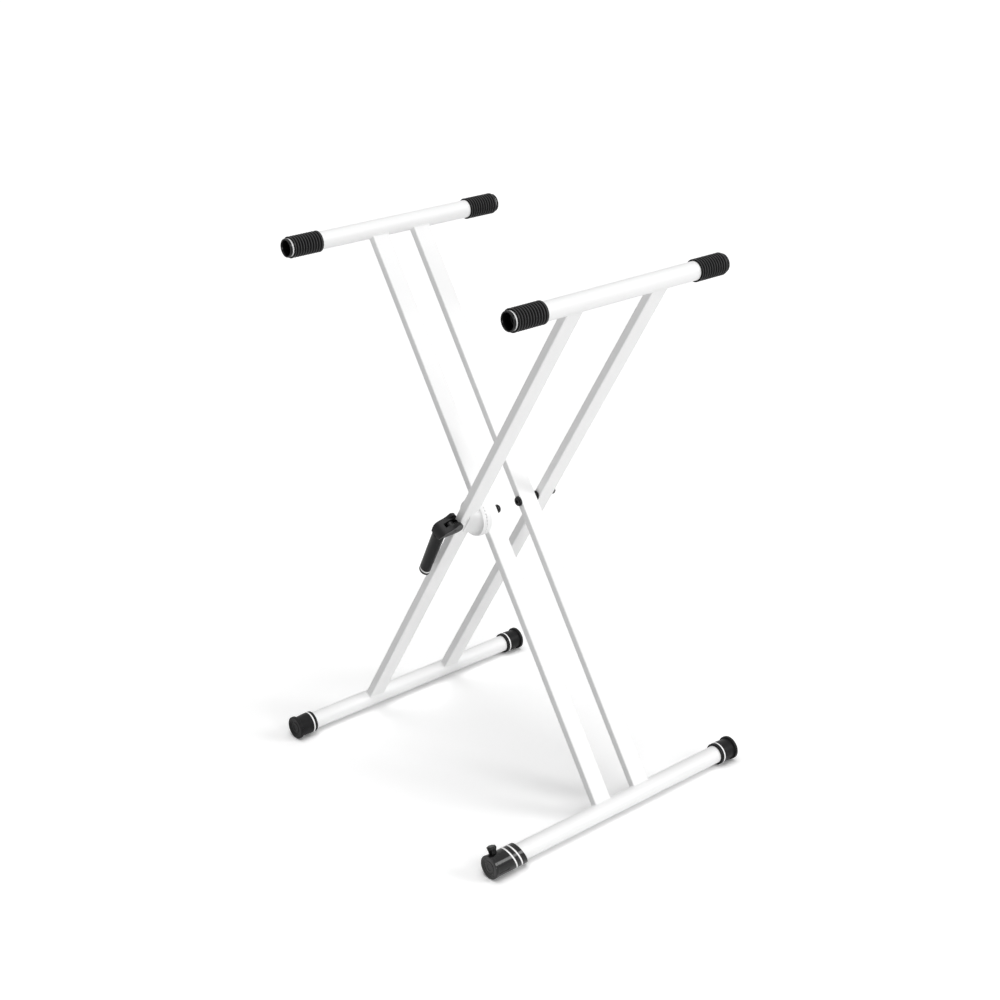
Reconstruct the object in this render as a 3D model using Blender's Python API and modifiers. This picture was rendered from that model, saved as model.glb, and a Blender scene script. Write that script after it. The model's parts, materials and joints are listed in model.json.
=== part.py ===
"""Double-X keyboard stand: two crossed frames, a toothed clutch and its cam lever.

Units are metres, +Z is up and +Y runs along the tubes, from the near ends to the far ends.
The outer frame leans right going up, the inner frame leans left, and both turn on one axis.
The origin is at the middle of the base of the stand's box.
"""
import math

import bmesh
import bpy
from mathutils import Matrix, Vector

# Clearances
GAP = 0.0003            # between pieces that touch or are cut by each other
SLIP = 0.0005           # between pieces that slide or turn on each other

# Frames
LEAN = math.radians(32.6)       # each leg's angle from the vertical, as photographed
UPPER_LEG = 0.540               # pivot to the axis of the top tube
LOWER_LEG = 0.553               # pivot to the axis of the foot tube
LEG_WIDTH = 0.035               # along Y
LEG_DEPTH = 0.015
LEG_WALL = 0.0015
LEG_CORNER = 0.0020
OUTER_LEG_Y = 0.092             # the outer legs stand this far either side of the middle
CLUTCH_SPACE = 0.0175           # between the near legs
FAR_SPACE = 0.0055              # between the far legs

# Tubes
TUBE_R = 0.016
TUBE_WALL = 0.0015
TUBE_STEPS = 20
TOP_TUBE_HALF = 0.2275
FOOT_TUBE_HALF = 0.2700

# Ribbed grips on the top tubes
GRIP_LENGTH = 0.0580
GRIP_END_SHOW = 0.0030          # bare tube between a grip and the tube's end
GRIP_WALL = 0.0023              # from the tube to the crests
GRIP_GROOVE_WALL = 0.0011
GRIP_RIBS = 11
GRIP_COLLAR = 0.0026            # plain band at each end
GRIP_STEPS = 16

# Plugs in the ends of the top tubes
PLUG_FLANGE = 0.0030
PLUG_DEPTH = 0.016
PLUG_WALL = 0.0016
PLUG_FLOOR = 0.0020

# Foot caps, with lengths measured from the end of the tube
RIM_WALL = 0.0055               # from the tube to the rim's edge
RIM_LENGTH = 0.0058
RIM_ROUND = 0.0012
RIM_STEPS = 20
CAP_SLEEVE = 0.0340             # length over the tube
CAP_END = 0.0055
CAP_WAIST_WALL = 0.0024
CAP_BAND_WALL = 0.0038
CAP_DISH_EDGE = 0.0055          # the rim round the dished face
CAP_DISH_DEPTH = 0.0012
CAP_RING_AT = 0.0270            # back to the middle of the ring
RING_WIDTH = 0.0030
RING_SEAT_WALL = 0.0026
RING_PROUD = 0.0003

# Levelling foot, on the near end of the inner foot tube, measured from that end
LEVEL_END = 0.0300
LEVEL_SLEEVE = 0.0380
LEVEL_BODY_WALL = 0.0043
LEVEL_RINGS_AT = (0.0290, 0.0195)
LEVEL_AXIS_AT = 0.0160
LEVEL_TILT = math.radians(17)   # of the screw from the vertical, towards the stand's inside
LEVEL_KNOB_R = 0.0098
LEVEL_KNOB_LOBES = 8
LEVEL_KNOB_LOBE_DEPTH = 0.0011
LEVEL_KNOB_SINK = 0.0013        # the spot face's depth in the body
LEVEL_KNOB_HEIGHT = 0.0105
LEVEL_SCREW_R = 0.0040
LEVEL_SOLE = 0.0040             # from the screw's tip to the pad's end
LEVEL_PAD_R = 0.0080
LEVEL_PAD_TOP = -0.0040
LEVEL_PAD_LIFT = 0.0025         # the pad's end stays this far within the rim
LEVEL_SLOT = (0.0165, 0.0040, 0.0010)   # recess in the side: length, height, depth
LEVEL_SLOT_TURN = math.radians(118)     # from the top, round the tube

# Toothed clutch on the pivot
CLUTCH_R = 0.0350
CLUTCH_AT = 0.0063              # outer leg to the middle of the gap between the teeth
CLUTCH_TEETH = 30
CLUTCH_TOOTH_DEPTH = 0.0015
CLUTCH_TOOTH_R = 0.0250         # inner end of the teeth
CLUTCH_WELL = 0.0020            # the face inside the teeth lies this far below their tips
HUB_FLANGE = 0.0082             # from the middle of that gap
HUB_LENGTH = 0.0218
HUB_BARREL_R = 0.0285
HUB_BARREL_ROUND = 0.0015
HUB_FLARE_STEPS = 2
DISC_ROUND = 0.0006
SPRING_WELL_R = 0.0125
SPRING_WELL_OUTER = 0.0035      # depth below the tooth tips, in the hub
SPRING_WELL_INNER = 0.0070      # and in the disc

# Pivot hardware
SMALL_STEPS = 16
ROD_R = 0.0040
ROD_EYE_R = 0.0072
ROD_EYE_WIDTH = 0.0080
SLEEVE_WALL = 0.0028
LEVER_PIN_R = 0.0030
NUT_R = 0.0078
NUT_LENGTH = 0.0090
NUT_TOP = 0.0016
WASHER_R = 0.0085
WASHER_THICK = 0.0012
BOLT_R = 0.0040
BOLT_HEAD_R = 0.0090
BOLT_HEAD = 0.0050
BOLT_SOCKET_R = 0.0035
BOLT_SOCKET_DEPTH = 0.0025
FAR_NUT_R = 0.0078
FAR_NUT_LENGTH = 0.0055
FAR_SPRING_R = 0.0088
SPRING_R = 0.0095
SPRING_WIRE_R = 0.0008
SPRING_TURNS = 3.5
SPRING_POINTS_PER_TURN = 8

# Cam lever, measured from its pin: Y towards the leg, Z up along it
RELEASE_TRAVEL = 0.0025         # how far the rod lets the inner frame go
LEVER_SWING = math.radians(80)
CAM_R = 0.0132                  # pin to the leg's face when locked
CAM_STEPS = 8
CAM_DWELL = math.radians(28)      # round part of the cam past its locked point
CAM_DWELL_STEPS = 2
FLANK_THICK = 0.0065            # beside the leg
FLANK_EDGE = 0.0030
FLANK_TIP = (0.0030, 0.0003)    # centre of each flank's round tip
FLANK_TIP_R = 0.0154
FLANK_TIP_FROM = math.radians(-46)
FLANK_TIP_STEPS = 8
HEAD_TOP = ((0.0002, 0.0120), (-0.0038, 0.0078), (-0.0090, 0.0046), (-0.0150, 0.0026),
            (-0.0186, 0.0004), (-0.0203, -0.0036), (-0.0212, -0.0196))
HEAD_THROAT = ((-0.0010, -0.0250), (0.0050, -0.0195))
HEAD_TAPER_FROM = -0.0080       # below this height the head narrows towards the handle
FORK_SLOT = 0.0090
FORK_SLOT_BACK = -0.0135
FORK_SLOT_BOTTOM = -0.0120
HANDLE_BACK = -0.0172           # the handle's axis passes this far behind the pin
HANDLE_TILT = math.radians(4)   # and runs down towards the leg
HANDLE_SEAM = -0.0320           # along that axis
HANDLE_END = -0.1176
HANDLE_HALF_WIDTH = 0.0112
HANDLE_HALF_DEPTH = 0.0088
HANDLE_CORE_R = 0.0052
HANDLE_RING = 0.0030
HANDLE_CAP = 0.0065
HANDLE_STEPS = 20

# Derived sizes
GRIP_R = TUBE_R + GRIP_WALL
GRIP_GROOVE_R = TUBE_R + GRIP_GROOVE_WALL
GRIP_INNER_END = TOP_TUBE_HALF - GRIP_END_SHOW - GRIP_LENGTH
RIM_R = TUBE_R + RIM_WALL
CAP_WAIST_R = TUBE_R + CAP_WAIST_WALL
CAP_BAND_R = TUBE_R + CAP_BAND_WALL
CAP_DISH_R = RIM_R - CAP_DISH_EDGE
RING_SEAT_R = TUBE_R + RING_SEAT_WALL
LEVEL_BODY_R = TUBE_R + LEVEL_BODY_WALL
LEVEL_KNOB_SEAT = LEVEL_BODY_R - LEVEL_KNOB_SINK    # from the tube's axis
LEVEL_PAD_END = LEVEL_PAD_LIFT - RIM_R
LEVEL_SCREW_TIP = LEVEL_PAD_END + LEVEL_SOLE
SLEEVE_R = max(ROD_R, BOLT_R) + SLEEVE_WALL
FLANK_HALF_WIDTH = LEG_DEPTH / 2 + SLIP + FLANK_THICK   # of the fork, over its two flanks

# Derived places
CAP_INNER_END = FOOT_TUBE_HALF - CAP_SLEEVE
CAP_OUTER_END = FOOT_TUBE_HALF + CAP_END
CAP_RING_Y = FOOT_TUBE_HALF - CAP_RING_AT
LEVEL_INNER_END = FOOT_TUBE_HALF - LEVEL_SLEEVE
LEVEL_OUTER_END = FOOT_TUBE_HALF + LEVEL_END
LEVEL_RINGS_Y = tuple(FOOT_TUBE_HALF - back for back in LEVEL_RINGS_AT)
LEVEL_AXIS_Y = FOOT_TUBE_HALF + LEVEL_AXIS_AT
FACET_TURN = math.pi / RIM_STEPS
AXLE_HEIGHT = LOWER_LEG * math.cos(LEAN) + RIM_R * math.cos(FACET_TURN)
MIDDLE_Y = (LEVEL_OUTER_END - CAP_OUTER_END) / 2
OUTER_NEAR_Y = -OUTER_LEG_Y
OUTER_FAR_Y = OUTER_LEG_Y
INNER_NEAR_Y = OUTER_NEAR_Y + LEG_WIDTH + CLUTCH_SPACE
INNER_FAR_Y = OUTER_FAR_Y - LEG_WIDTH - FAR_SPACE
CLUTCH_PLANE = OUTER_NEAR_Y + LEG_WIDTH / 2 + CLUTCH_AT
HUB_FLANGE_END = CLUTCH_PLANE - HUB_FLANGE
HUB_BARREL_END = CLUTCH_PLANE - HUB_LENGTH
NEAR_FACE = OUTER_NEAR_Y - LEG_WIDTH / 2        # where the cam bears
HUB_SEAT = OUTER_NEAR_Y + LEG_WIDTH / 2 + GAP
DISC_SEAT = INNER_NEAR_Y - LEG_WIDTH / 2 - GAP
NUT_SEAT = INNER_NEAR_Y + LEG_WIDTH / 2
BOLT_SEAT = INNER_FAR_Y - LEG_WIDTH / 2
FAR_GAP = (INNER_FAR_Y + LEG_WIDTH / 2, OUTER_FAR_Y - LEG_WIDTH / 2)
FAR_FACE = OUTER_FAR_Y + LEG_WIDTH / 2
PIN_Y = NEAR_FACE - CAM_R - GAP

# Finishes: colour, roughness, metallic
WHITE = ("powder_coat", (0.86, 0.86, 0.86), 0.38, 0.0)
BLACK_RUBBER = ("black_rubber", (0.030, 0.030, 0.031), 0.62, 0.0)
BLACK_PLASTIC = ("black_plastic", (0.024, 0.024, 0.025), 0.40, 0.0)
RING_WHITE = ("ring_plastic", (0.88, 0.88, 0.88), 0.35, 0.0)
BLACK_STEEL = ("blackened_steel", (0.035, 0.035, 0.037), 0.35, 0.9)
BRIGHT_STEEL = ("bright_steel", (0.56, 0.56, 0.57), 0.28, 1.0)

ALONG_Y = Matrix.Rotation(-math.pi / 2, 4, "X")     # turns a shape's own Z to +Y
PARTS = None
CUTTERS = None


def bore_for(radius, steps=SMALL_STEPS, gap=GAP):
    """Corner radius of a faceted bore whose flats clear a shaft of this radius by the gap."""
    return (radius + gap) / math.cos(math.pi / steps)


def clear_scene():
    """Remove what the scene holds and make the two collections."""
    global PARTS, CUTTERS
    for item in list(bpy.data.objects):
        bpy.data.objects.remove(item, do_unlink=True)
    PARTS = bpy.data.collections.new("double_x_keyboard_stand")
    CUTTERS = bpy.data.collections.new("cutters")
    for group in (PARTS, CUTTERS):
        bpy.context.scene.collection.children.link(group)


def finish(spec):
    """Return the Principled material of a finish, made at its first use."""
    name, colour, roughness, metallic = spec
    found = bpy.data.materials.get(name)
    if found:
        return found
    made = bpy.data.materials.new(name)
    made.use_nodes = True
    shader = made.node_tree.nodes["Principled BSDF"]
    shader.inputs["Base Color"].default_value = (*colour, 1.0)
    shader.inputs["Roughness"].default_value = roughness
    shader.inputs["Metallic"].default_value = metallic
    return made


def place(item, parent, spec=None, matrix=None):
    """Put an object in the parts, or among the cutters when it has no finish."""
    if spec is None:
        CUTTERS.objects.link(item)
        item.hide_render = True
        item.display_type = "WIRE"
    else:
        PARTS.objects.link(item)
        item.data.materials.clear()
        item.data.materials.append(finish(spec))
    item.parent = parent
    if matrix is not None:
        item.matrix_local = matrix
    return item


def pivot_empty(name, parent, location, turn_y=0.0):
    """An empty on a joint's axis, turned about Y."""
    empty = bpy.data.objects.new(name, None)
    PARTS.objects.link(empty)
    empty.empty_display_size = 0.03
    empty.parent = parent
    empty.location = location
    empty.rotation_euler = (0.0, turn_y, 0.0)
    return empty


def mesh_object(name, bm, smooth=True):
    """Make an object from a bmesh, with its round faces shaded smooth."""
    mesh = bpy.data.meshes.new(name)
    bmesh.ops.recalc_face_normals(bm, faces=bm.faces)
    bm.to_mesh(mesh)
    bm.free()
    if smooth:
        mesh.shade_smooth()
        mesh.set_sharp_from_angle(angle=math.radians(35))
    return bpy.data.objects.new(name, mesh)


def turned(name, profile, parent, spec=None, steps=TUBE_STEPS, y=0.0, spin=0.0, flip=False, matrix=None):
    """A turned piece about Y. The profile is (radius, height), down the outside from the top.

    Height runs along +Y, or along -Y when flipped, and spin turns the facets about the axis.
    """
    mesh = bpy.data.meshes.new(name)
    ring = [(radius, 0.0, height) for radius, height in profile]
    on_axis = profile[0][0] == 0.0 and profile[-1][0] == 0.0
    edges = [(i, i + 1) for i in range(len(ring) - 1)]
    if not on_axis:
        edges.append((len(ring) - 1, 0))
    mesh.from_pydata(ring, edges, [])
    item = bpy.data.objects.new(name, mesh)
    screw = item.modifiers.new("turn", "SCREW")
    screw.axis = "Z"
    screw.steps = steps
    screw.render_steps = steps
    screw.use_merge_vertices = True
    screw.merge_threshold = 0.00002
    screw.use_smooth_shade = True
    if matrix is None:
        heading = Matrix.Rotation(math.pi if flip else 0.0, 4, "X")
        matrix = Matrix.Translation((0.0, y, 0.0)) @ ALONG_Y @ heading @ Matrix.Rotation(spin, 4, "Z")
    return place(item, parent, spec, matrix)


def pipe(name, outer_r, inner_r, start, end, parent, spec=None, steps=TUBE_STEPS, spin=0.0):
    """A plain ring or tube about Y, from start to end."""
    profile = [(outer_r, end), (outer_r, start), (inner_r, start), (inner_r, end)]
    return turned(name, profile, parent, spec, steps, spin=spin)


def rod_cutter(name, radius, start, end, parent, steps=SMALL_STEPS, x=0.0, z=0.0):
    """A cylinder along Y, for cutting."""
    item = turned(name, [(0.0, end), (radius, end), (radius, start), (0.0, start)], parent, None, steps)
    item.location.x = x
    item.location.z = z
    return item


def block(name, size, centre, parent, spec=None, edge=0.0):
    """A box given by its size and centre, with its long edges rounded when asked."""
    bm = bmesh.new()
    bmesh.ops.create_cube(bm, size=1.0)
    bmesh.ops.scale(bm, vec=Vector(size), verts=bm.verts)
    if edge:
        upright = [e for e in bm.edges if abs((e.verts[0].co - e.verts[1].co).normalized().z) > 0.9]
        bmesh.ops.bevel(bm, geom=upright, offset=edge, segments=2, profile=0.5, affect="EDGES")
    item = mesh_object(name, bm)
    return place(item, parent, spec, Matrix.Translation(centre))


def cut(item, *cutters):
    """Subtract each cutter from a piece."""
    for cutter in cutters:
        step = item.modifiers.new("cut_" + cutter.name, "BOOLEAN")
        step.operation = "DIFFERENCE"
        step.solver = "EXACT"
        step.object = cutter


def join(item, *others):
    """Unite a piece with shapes that stay among the cutters."""
    for other in others:
        step = item.modifiers.new("join_" + other.name, "BOOLEAN")
        step.operation = "UNION"
        step.solver = "EXACT"
        step.object = other


def facet_spin(steps, lean=0.0):
    """Spin that turns a facet straight up and down on a piece in a leaning frame."""
    return math.pi / steps - lean


def leg(name, frame, y):
    """A rectangular tube between two round ones, coped to fit both, with a hole for its sleeve."""
    length = UPPER_LEG + LOWER_LEG
    centre = (0.0, y, (UPPER_LEG - LOWER_LEG) / 2)
    tube = block(name, (LEG_DEPTH, LEG_WIDTH, length), centre, frame, WHITE, LEG_CORNER)
    inner = (LEG_DEPTH - 2 * LEG_WALL, LEG_WIDTH - 2 * LEG_WALL, length * 1.1)
    bore = block(name + "_bore", inner, centre, frame, edge=LEG_CORNER - LEG_WALL)
    span = (y - LEG_WIDTH, y + LEG_WIDTH)
    cope = TUBE_R + GAP
    top = rod_cutter(name + "_top_cope", cope, *span, frame, TUBE_STEPS, z=UPPER_LEG)
    foot = rod_cutter(name + "_foot_cope", cope, *span, frame, TUBE_STEPS, z=-LOWER_LEG)
    hole = rod_cutter(name + "_hole", bore_for(SLEEVE_R), *span, frame)
    cut(tube, bore, top, foot, hole)
    return tube


def ribbed_profile():
    """A sleeve with ribs between two plain collars, down the outside and back up the bore."""
    length = GRIP_LENGTH
    grooves = GRIP_RIBS - 1
    pitch = (length - 2 * GRIP_COLLAR) / grooves
    points = [(GRIP_R, length)]
    for groove in range(grooves):
        top = length - GRIP_COLLAR - groove * pitch
        points += [(GRIP_R, top), (GRIP_GROOVE_R, top - pitch / 2)]
    points += [(GRIP_R, GRIP_COLLAR), (GRIP_R, 0.0)]
    bore = bore_for(TUBE_R, GRIP_STEPS)
    return points + [(bore, 0.0), (bore, length)]


def top_tube(side, frame, lean):
    """A top tube with its two grips and end plugs."""
    axis = pivot_empty(side + "_top_axis", frame, (0.0, 0.0, UPPER_LEG))
    half = TOP_TUBE_HALF
    pipe(side + "_top_tube", TUBE_R, TUBE_R - TUBE_WALL, -half, half, axis, WHITE, TUBE_STEPS)
    for end, flip in (("near", True), ("far", False)):
        sign = -1 if flip else 1
        turned(f"{side}_grip_{end}", ribbed_profile(), axis, BLACK_RUBBER, GRIP_STEPS,
               y=sign * GRIP_INNER_END, spin=sign * facet_spin(GRIP_STEPS, lean), flip=flip)
        seat = TUBE_R - TUBE_WALL - GAP
        plug = [(TUBE_R - PLUG_WALL - GAP, PLUG_FLANGE), (TUBE_R, PLUG_FLANGE), (TUBE_R, GAP),
                (seat, GAP), (seat, -PLUG_DEPTH), (0.0, -PLUG_DEPTH), (0.0, PLUG_FLOOR - PLUG_DEPTH),
                (seat - PLUG_WALL, PLUG_FLOOR - PLUG_DEPTH), (seat - PLUG_WALL, 0.0)]
        capped_turn(f"{side}_end_plug_{end}", plug, axis, BLACK_PLASTIC, sign * half, flip)
    return axis


def capped_turn(name, profile, parent, spec, y, flip, steps=TUBE_STEPS, spin=0.0):
    """A cup about Y: its profile starts at the rim, runs down the outside and back up the inside."""
    low = [index for index, point in enumerate(profile) if point[0] == 0.0]
    ordered = profile[low[1]:] + profile[:low[0] + 1]
    return turned(name, ordered, parent, spec, steps, y=y, spin=spin, flip=flip)


def cap_outline(outer_end, inner_end, rings, waist_r, band_r):
    """The outside of a foot cap from its rim's outer edge to its inner end, with ring grooves."""
    behind_rim = outer_end - RIM_LENGTH
    flare_end = max(rings) + RING_WIDTH
    points = [(RIM_R - RIM_ROUND, outer_end), (RIM_R, outer_end - RIM_ROUND),
              (RIM_R, behind_rim), (waist_r, behind_rim - RIM_ROUND)]
    middle = (behind_rim + flare_end) / 2
    points += [((waist_r * 0.72 + band_r * 0.28), middle), (band_r, flare_end)]
    for ring in sorted(rings, reverse=True):
        high = ring + RING_WIDTH / 2
        low = ring - RING_WIDTH / 2
        points += [(band_r, high), (RING_SEAT_R, high), (RING_SEAT_R, low), (band_r, low)]
    points += [(band_r, inner_end)]
    return points


def cap_profile(outer_end, inner_end, rings, waist_r, band_r, floor):
    """A foot cap from the middle of its dished face, round the outside and up its bore."""
    dish = [(0.0, outer_end - CAP_DISH_DEPTH), (CAP_DISH_R - CAP_DISH_DEPTH, outer_end - CAP_DISH_DEPTH),
            (CAP_DISH_R, outer_end)]
    bore = bore_for(TUBE_R, RIM_STEPS)
    inside = [(bore, inner_end), (bore, floor), (0.0, floor)]
    return dish + cap_outline(outer_end, inner_end, rings, waist_r, band_r) + inside


def ring_piece(name, axis, y, band_r, spin):
    """A white ring that seats in a foot cap's groove, its facets in line with the cap's."""
    half = RING_WIDTH / 2 - GAP
    return pipe(name, band_r + RING_PROUD, RING_SEAT_R + GAP, y - half, y + half, axis, RING_WHITE,
                RIM_STEPS, spin)


def foot_cap(side, end, axis, lean):
    """A rubber cap with its ring, on one end of a foot tube."""
    flip = end == "near"
    sign = -1 if flip else 1
    floor = FOOT_TUBE_HALF + GAP
    profile = cap_profile(CAP_OUTER_END, CAP_INNER_END, (CAP_RING_Y,), CAP_WAIST_R, CAP_BAND_R, floor)
    spin = facet_spin(RIM_STEPS, lean)
    turned(f"{side}_foot_cap_{end}", profile, axis, BLACK_RUBBER, RIM_STEPS, spin=sign * spin, flip=flip)
    ring_piece(f"{side}_cap_ring_{end}", axis, sign * CAP_RING_Y, CAP_BAND_R, spin)


def foot_tube(side, frame, lean, ends):
    """A foot tube with its rubber caps on the ends that are named."""
    axis = pivot_empty(side + "_foot_axis", frame, (0.0, 0.0, -LOWER_LEG))
    half = FOOT_TUBE_HALF
    pipe(side + "_foot_tube", TUBE_R, TUBE_R - TUBE_WALL, -half, half, axis, WHITE, TUBE_STEPS)
    for end in ends:
        foot_cap(side, end, axis, lean)
    return axis


def radial_turn(name, profile, axis, spec, steps, spin=0.0):
    """A turned piece about the levelling screw, whose own Z points out of the tube's axis."""
    return turned(name, profile, axis, spec, steps, matrix=Matrix.Rotation(spin, 4, "Z"))


def levelling_foot(axis, lean):
    """The near foot of the inner frame: a cap with a screw that pushes out a pad."""
    profile = cap_profile(LEVEL_OUTER_END, LEVEL_INNER_END, LEVEL_RINGS_Y, LEVEL_BODY_R, LEVEL_BODY_R,
                          FOOT_TUBE_HALF + GAP)
    body = turned("levelling_foot_body", profile, axis, BLACK_PLASTIC, RIM_STEPS,
                  spin=-facet_spin(RIM_STEPS, lean), flip=True)
    for number, ring in enumerate(LEVEL_RINGS_Y, start=1):
        ring_piece(f"levelling_foot_ring_{number}", axis, -ring, LEVEL_BODY_R, facet_spin(RIM_STEPS, lean))
    screw = pivot_empty("levelling_screw_axis", axis, (0.0, -LEVEL_AXIS_Y, 0.0), -LEVEL_TILT - lean)
    clear = bore_for(LEVEL_SCREW_R, TUBE_STEPS)
    housing = bore_for(LEVEL_PAD_R, TUBE_STEPS)
    reach = RIM_R * 1.5
    socket = bore_for(LEVEL_KNOB_R, TUBE_STEPS, SLIP)
    top = LEVEL_PAD_TOP + SLIP
    well = radial_turn("levelling_well", [(0.0, reach), (socket, reach), (socket, LEVEL_KNOB_SEAT),
                                          (clear, LEVEL_KNOB_SEAT), (clear, top), (housing, top),
                                          (housing, -reach), (0.0, -reach)], screw, None, TUBE_STEPS)
    length, height, depth = LEVEL_SLOT
    turn = pivot_empty("levelling_slot_turn", axis, (0.0, 0.0, 0.0), LEVEL_SLOT_TURN - lean)
    middle = (LEVEL_OUTER_END - RIM_LENGTH + max(LEVEL_RINGS_Y)) / 2
    slot = block("levelling_slot", (height, length, depth * 2), (0.0, -middle, LEVEL_BODY_R), turn)
    cut(body, well, slot)
    levelling_screw(screw)


def levelling_screw(screw):
    """The knob and spindle that turn, and the pad that they push out."""
    base = LEVEL_KNOB_SEAT + GAP
    top = base + LEVEL_KNOB_HEIGHT
    bm = bmesh.new()
    count = LEVEL_KNOB_LOBES * 3
    outline = []
    for step in range(count):
        angle = 2 * math.pi * step / count
        radius = LEVEL_KNOB_R - LEVEL_KNOB_LOBE_DEPTH * (0.5 - 0.5 * math.cos(LEVEL_KNOB_LOBES * angle))
        outline.append(bm.verts.new((radius * math.cos(angle), radius * math.sin(angle), base)))
    bm.faces.new(outline)
    raised = bmesh.ops.extrude_face_region(bm, geom=list(bm.faces))
    lifted = [v for v in raised["geom"] if isinstance(v, bmesh.types.BMVert)]
    bmesh.ops.translate(bm, vec=(0.0, 0.0, LEVEL_KNOB_HEIGHT), verts=lifted)
    crown = [f for f in bm.faces if all(abs(v.co.z - top) < 1e-6 for v in f.verts)]
    bmesh.ops.inset_region(bm, faces=crown, thickness=0.0012, depth=0.0007)
    knob = place(mesh_object("levelling_knob", bm), screw, BLACK_PLASTIC)
    hole_r = bore_for(LEVEL_SCREW_R)
    cut(knob, radial_turn("levelling_knob_hole", [(0.0, top - 0.003), (hole_r, top - 0.003),
                                                  (hole_r, base - 0.01), (0.0, base - 0.01)],
                          screw, None, SMALL_STEPS))
    tip = LEVEL_SCREW_TIP
    radial_turn("levelling_spindle", [(0.0, top - 0.0035), (LEVEL_SCREW_R, top - 0.0035),
                                      (LEVEL_SCREW_R, tip + 0.0005), (LEVEL_SCREW_R - 0.0005, tip),
                                      (0.0, tip)], screw, BRIGHT_STEEL, SMALL_STEPS)
    bore = bore_for(LEVEL_SCREW_R)
    pad = [(bore, LEVEL_PAD_TOP), (LEVEL_PAD_R, LEVEL_PAD_TOP),
           (LEVEL_PAD_R, LEVEL_PAD_END + 0.0008), (LEVEL_PAD_R - 0.0008, LEVEL_PAD_END), (0.0, LEVEL_PAD_END),
           (0.0, tip - SLIP), (bore, tip - SLIP)]
    low = [index for index, point in enumerate(pad) if point[0] == 0.0]
    radial_turn("levelling_pad", pad[low[1]:] + pad[:low[0] + 1], screw, BLACK_RUBBER, SMALL_STEPS)


def toothed_blank(name, parent, spec, face, direction, outline, well_depth, turn):
    """A disc about Y with radial V teeth on its face, turned about Y so that the teeth mesh.

    The outline is (radius, depth below the tooth tips) from the rim of the face to the back of
    the bore, and direction is +1 where the teeth look along +Y.
    """
    spokes = 2 * CLUTCH_TEETH
    bore_r = bore_for(ROD_R, spokes, SLIP)
    bm = bmesh.new()
    front = [(bore_r, well_depth), (SPRING_WELL_R, well_depth), (SPRING_WELL_R, CLUTCH_WELL),
             (CLUTCH_TOOTH_R, CLUTCH_WELL), (CLUTCH_TOOTH_R, 0.0), (CLUTCH_R, 0.0)]
    chain = front + outline + [(bore_r, outline[-1][1])]
    verts = [bm.verts.new((radius, face - direction * depth, 0.0)) for radius, depth in chain]
    edges = [bm.edges.new((verts[i], verts[(i + 1) % len(verts)])) for i in range(len(verts))]
    bmesh.ops.spin(bm, geom=verts + edges, axis=(0, 1, 0), cent=(0, 0, 0), angle=2 * math.pi,
                   steps=spokes, use_duplicate=False)
    bmesh.ops.remove_doubles(bm, verts=bm.verts, dist=0.00001)
    pitch = 2 * math.pi / spokes
    for vert in bm.verts:
        radius = math.hypot(vert.co.x, vert.co.z)
        spoke = round(math.atan2(vert.co.z, vert.co.x) / pitch)
        if abs(vert.co.y - face) < 1e-6 and radius > CLUTCH_TOOTH_R - 1e-5 and spoke % 2:
            vert.co.y -= direction * CLUTCH_TOOTH_DEPTH
    return place(mesh_object(name, bm), parent, spec, Matrix.Rotation(turn, 4, "Y"))


def hub_outline():
    """The clutch hub's outside below its teeth: rim, flare, barrel and near face."""
    face = CLUTCH_PLANE - GAP / 2
    flange = face - HUB_FLANGE_END
    end = face - HUB_BARREL_END
    reach = CLUTCH_R - HUB_BARREL_R
    run = (end - flange) * 0.62
    points = [(CLUTCH_R, flange)]
    for step in range(1, HUB_FLARE_STEPS + 1):
        share = step / HUB_FLARE_STEPS
        points.append((HUB_BARREL_R + reach * (1 - math.sin(share * math.pi / 2)) * 0.93,
                       flange + run * (1 - math.cos(share * math.pi / 2))))
    points += [(HUB_BARREL_R, end - HUB_BARREL_ROUND), (HUB_BARREL_R - HUB_BARREL_ROUND, end)]
    return points


def clutch(outer, inner):
    """The toothed hub that straddles the outer leg, and the toothed disc on the inner leg.

    Both sets of teeth are set square to the ground, one half a tooth on from the other, so they
    face tip to gap where the legs lean as they do here.
    """
    hub = toothed_blank("outer_clutch_hub", outer, WHITE, CLUTCH_PLANE - GAP / 2, 1, hub_outline(),
                        SPRING_WELL_OUTER, -LEAN)
    saddle = block("clutch_saddle", (LEG_DEPTH + 2 * GAP, HUB_SEAT - NEAR_FACE, 4 * CLUTCH_R),
                   (0.0, (HUB_SEAT + NEAR_FACE) / 2, 0.0), outer)
    cut(hub, saddle)
    face = CLUTCH_PLANE + GAP / 2
    back = DISC_SEAT - face
    toothed_blank("inner_clutch_disc", inner, WHITE, face, -1,
                  [(CLUTCH_R, back - DISC_ROUND), (CLUTCH_R - DISC_ROUND, back)],
                  SPRING_WELL_INNER, LEAN + math.pi / CLUTCH_TEETH)
    release_spring(outer)


def release_spring(parent):
    """The spring round the rod that pushes the two clutch halves apart."""
    start = CLUTCH_PLANE - GAP / 2 - SPRING_WELL_OUTER + SPRING_WIRE_R + GAP
    end = CLUTCH_PLANE + GAP / 2 + SPRING_WELL_INNER - SPRING_WIRE_R - GAP
    count = int(SPRING_TURNS * SPRING_POINTS_PER_TURN)
    curve = bpy.data.curves.new("release_spring", "CURVE")
    curve.dimensions = "3D"
    curve.bevel_depth = SPRING_WIRE_R
    curve.bevel_resolution = 1
    curve.use_fill_caps = True
    path = curve.splines.new("POLY")
    path.points.add(count)
    for index, point in enumerate(path.points):
        share = index / count
        angle = share * SPRING_TURNS * 2 * math.pi
        along = start + (end - start) * share
        point.co = (SPRING_R * math.cos(angle), along, SPRING_R * math.sin(angle), 1.0)
    item = bpy.data.objects.new("release_spring", curve)
    place(item, parent, BRIGHT_STEEL)


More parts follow.
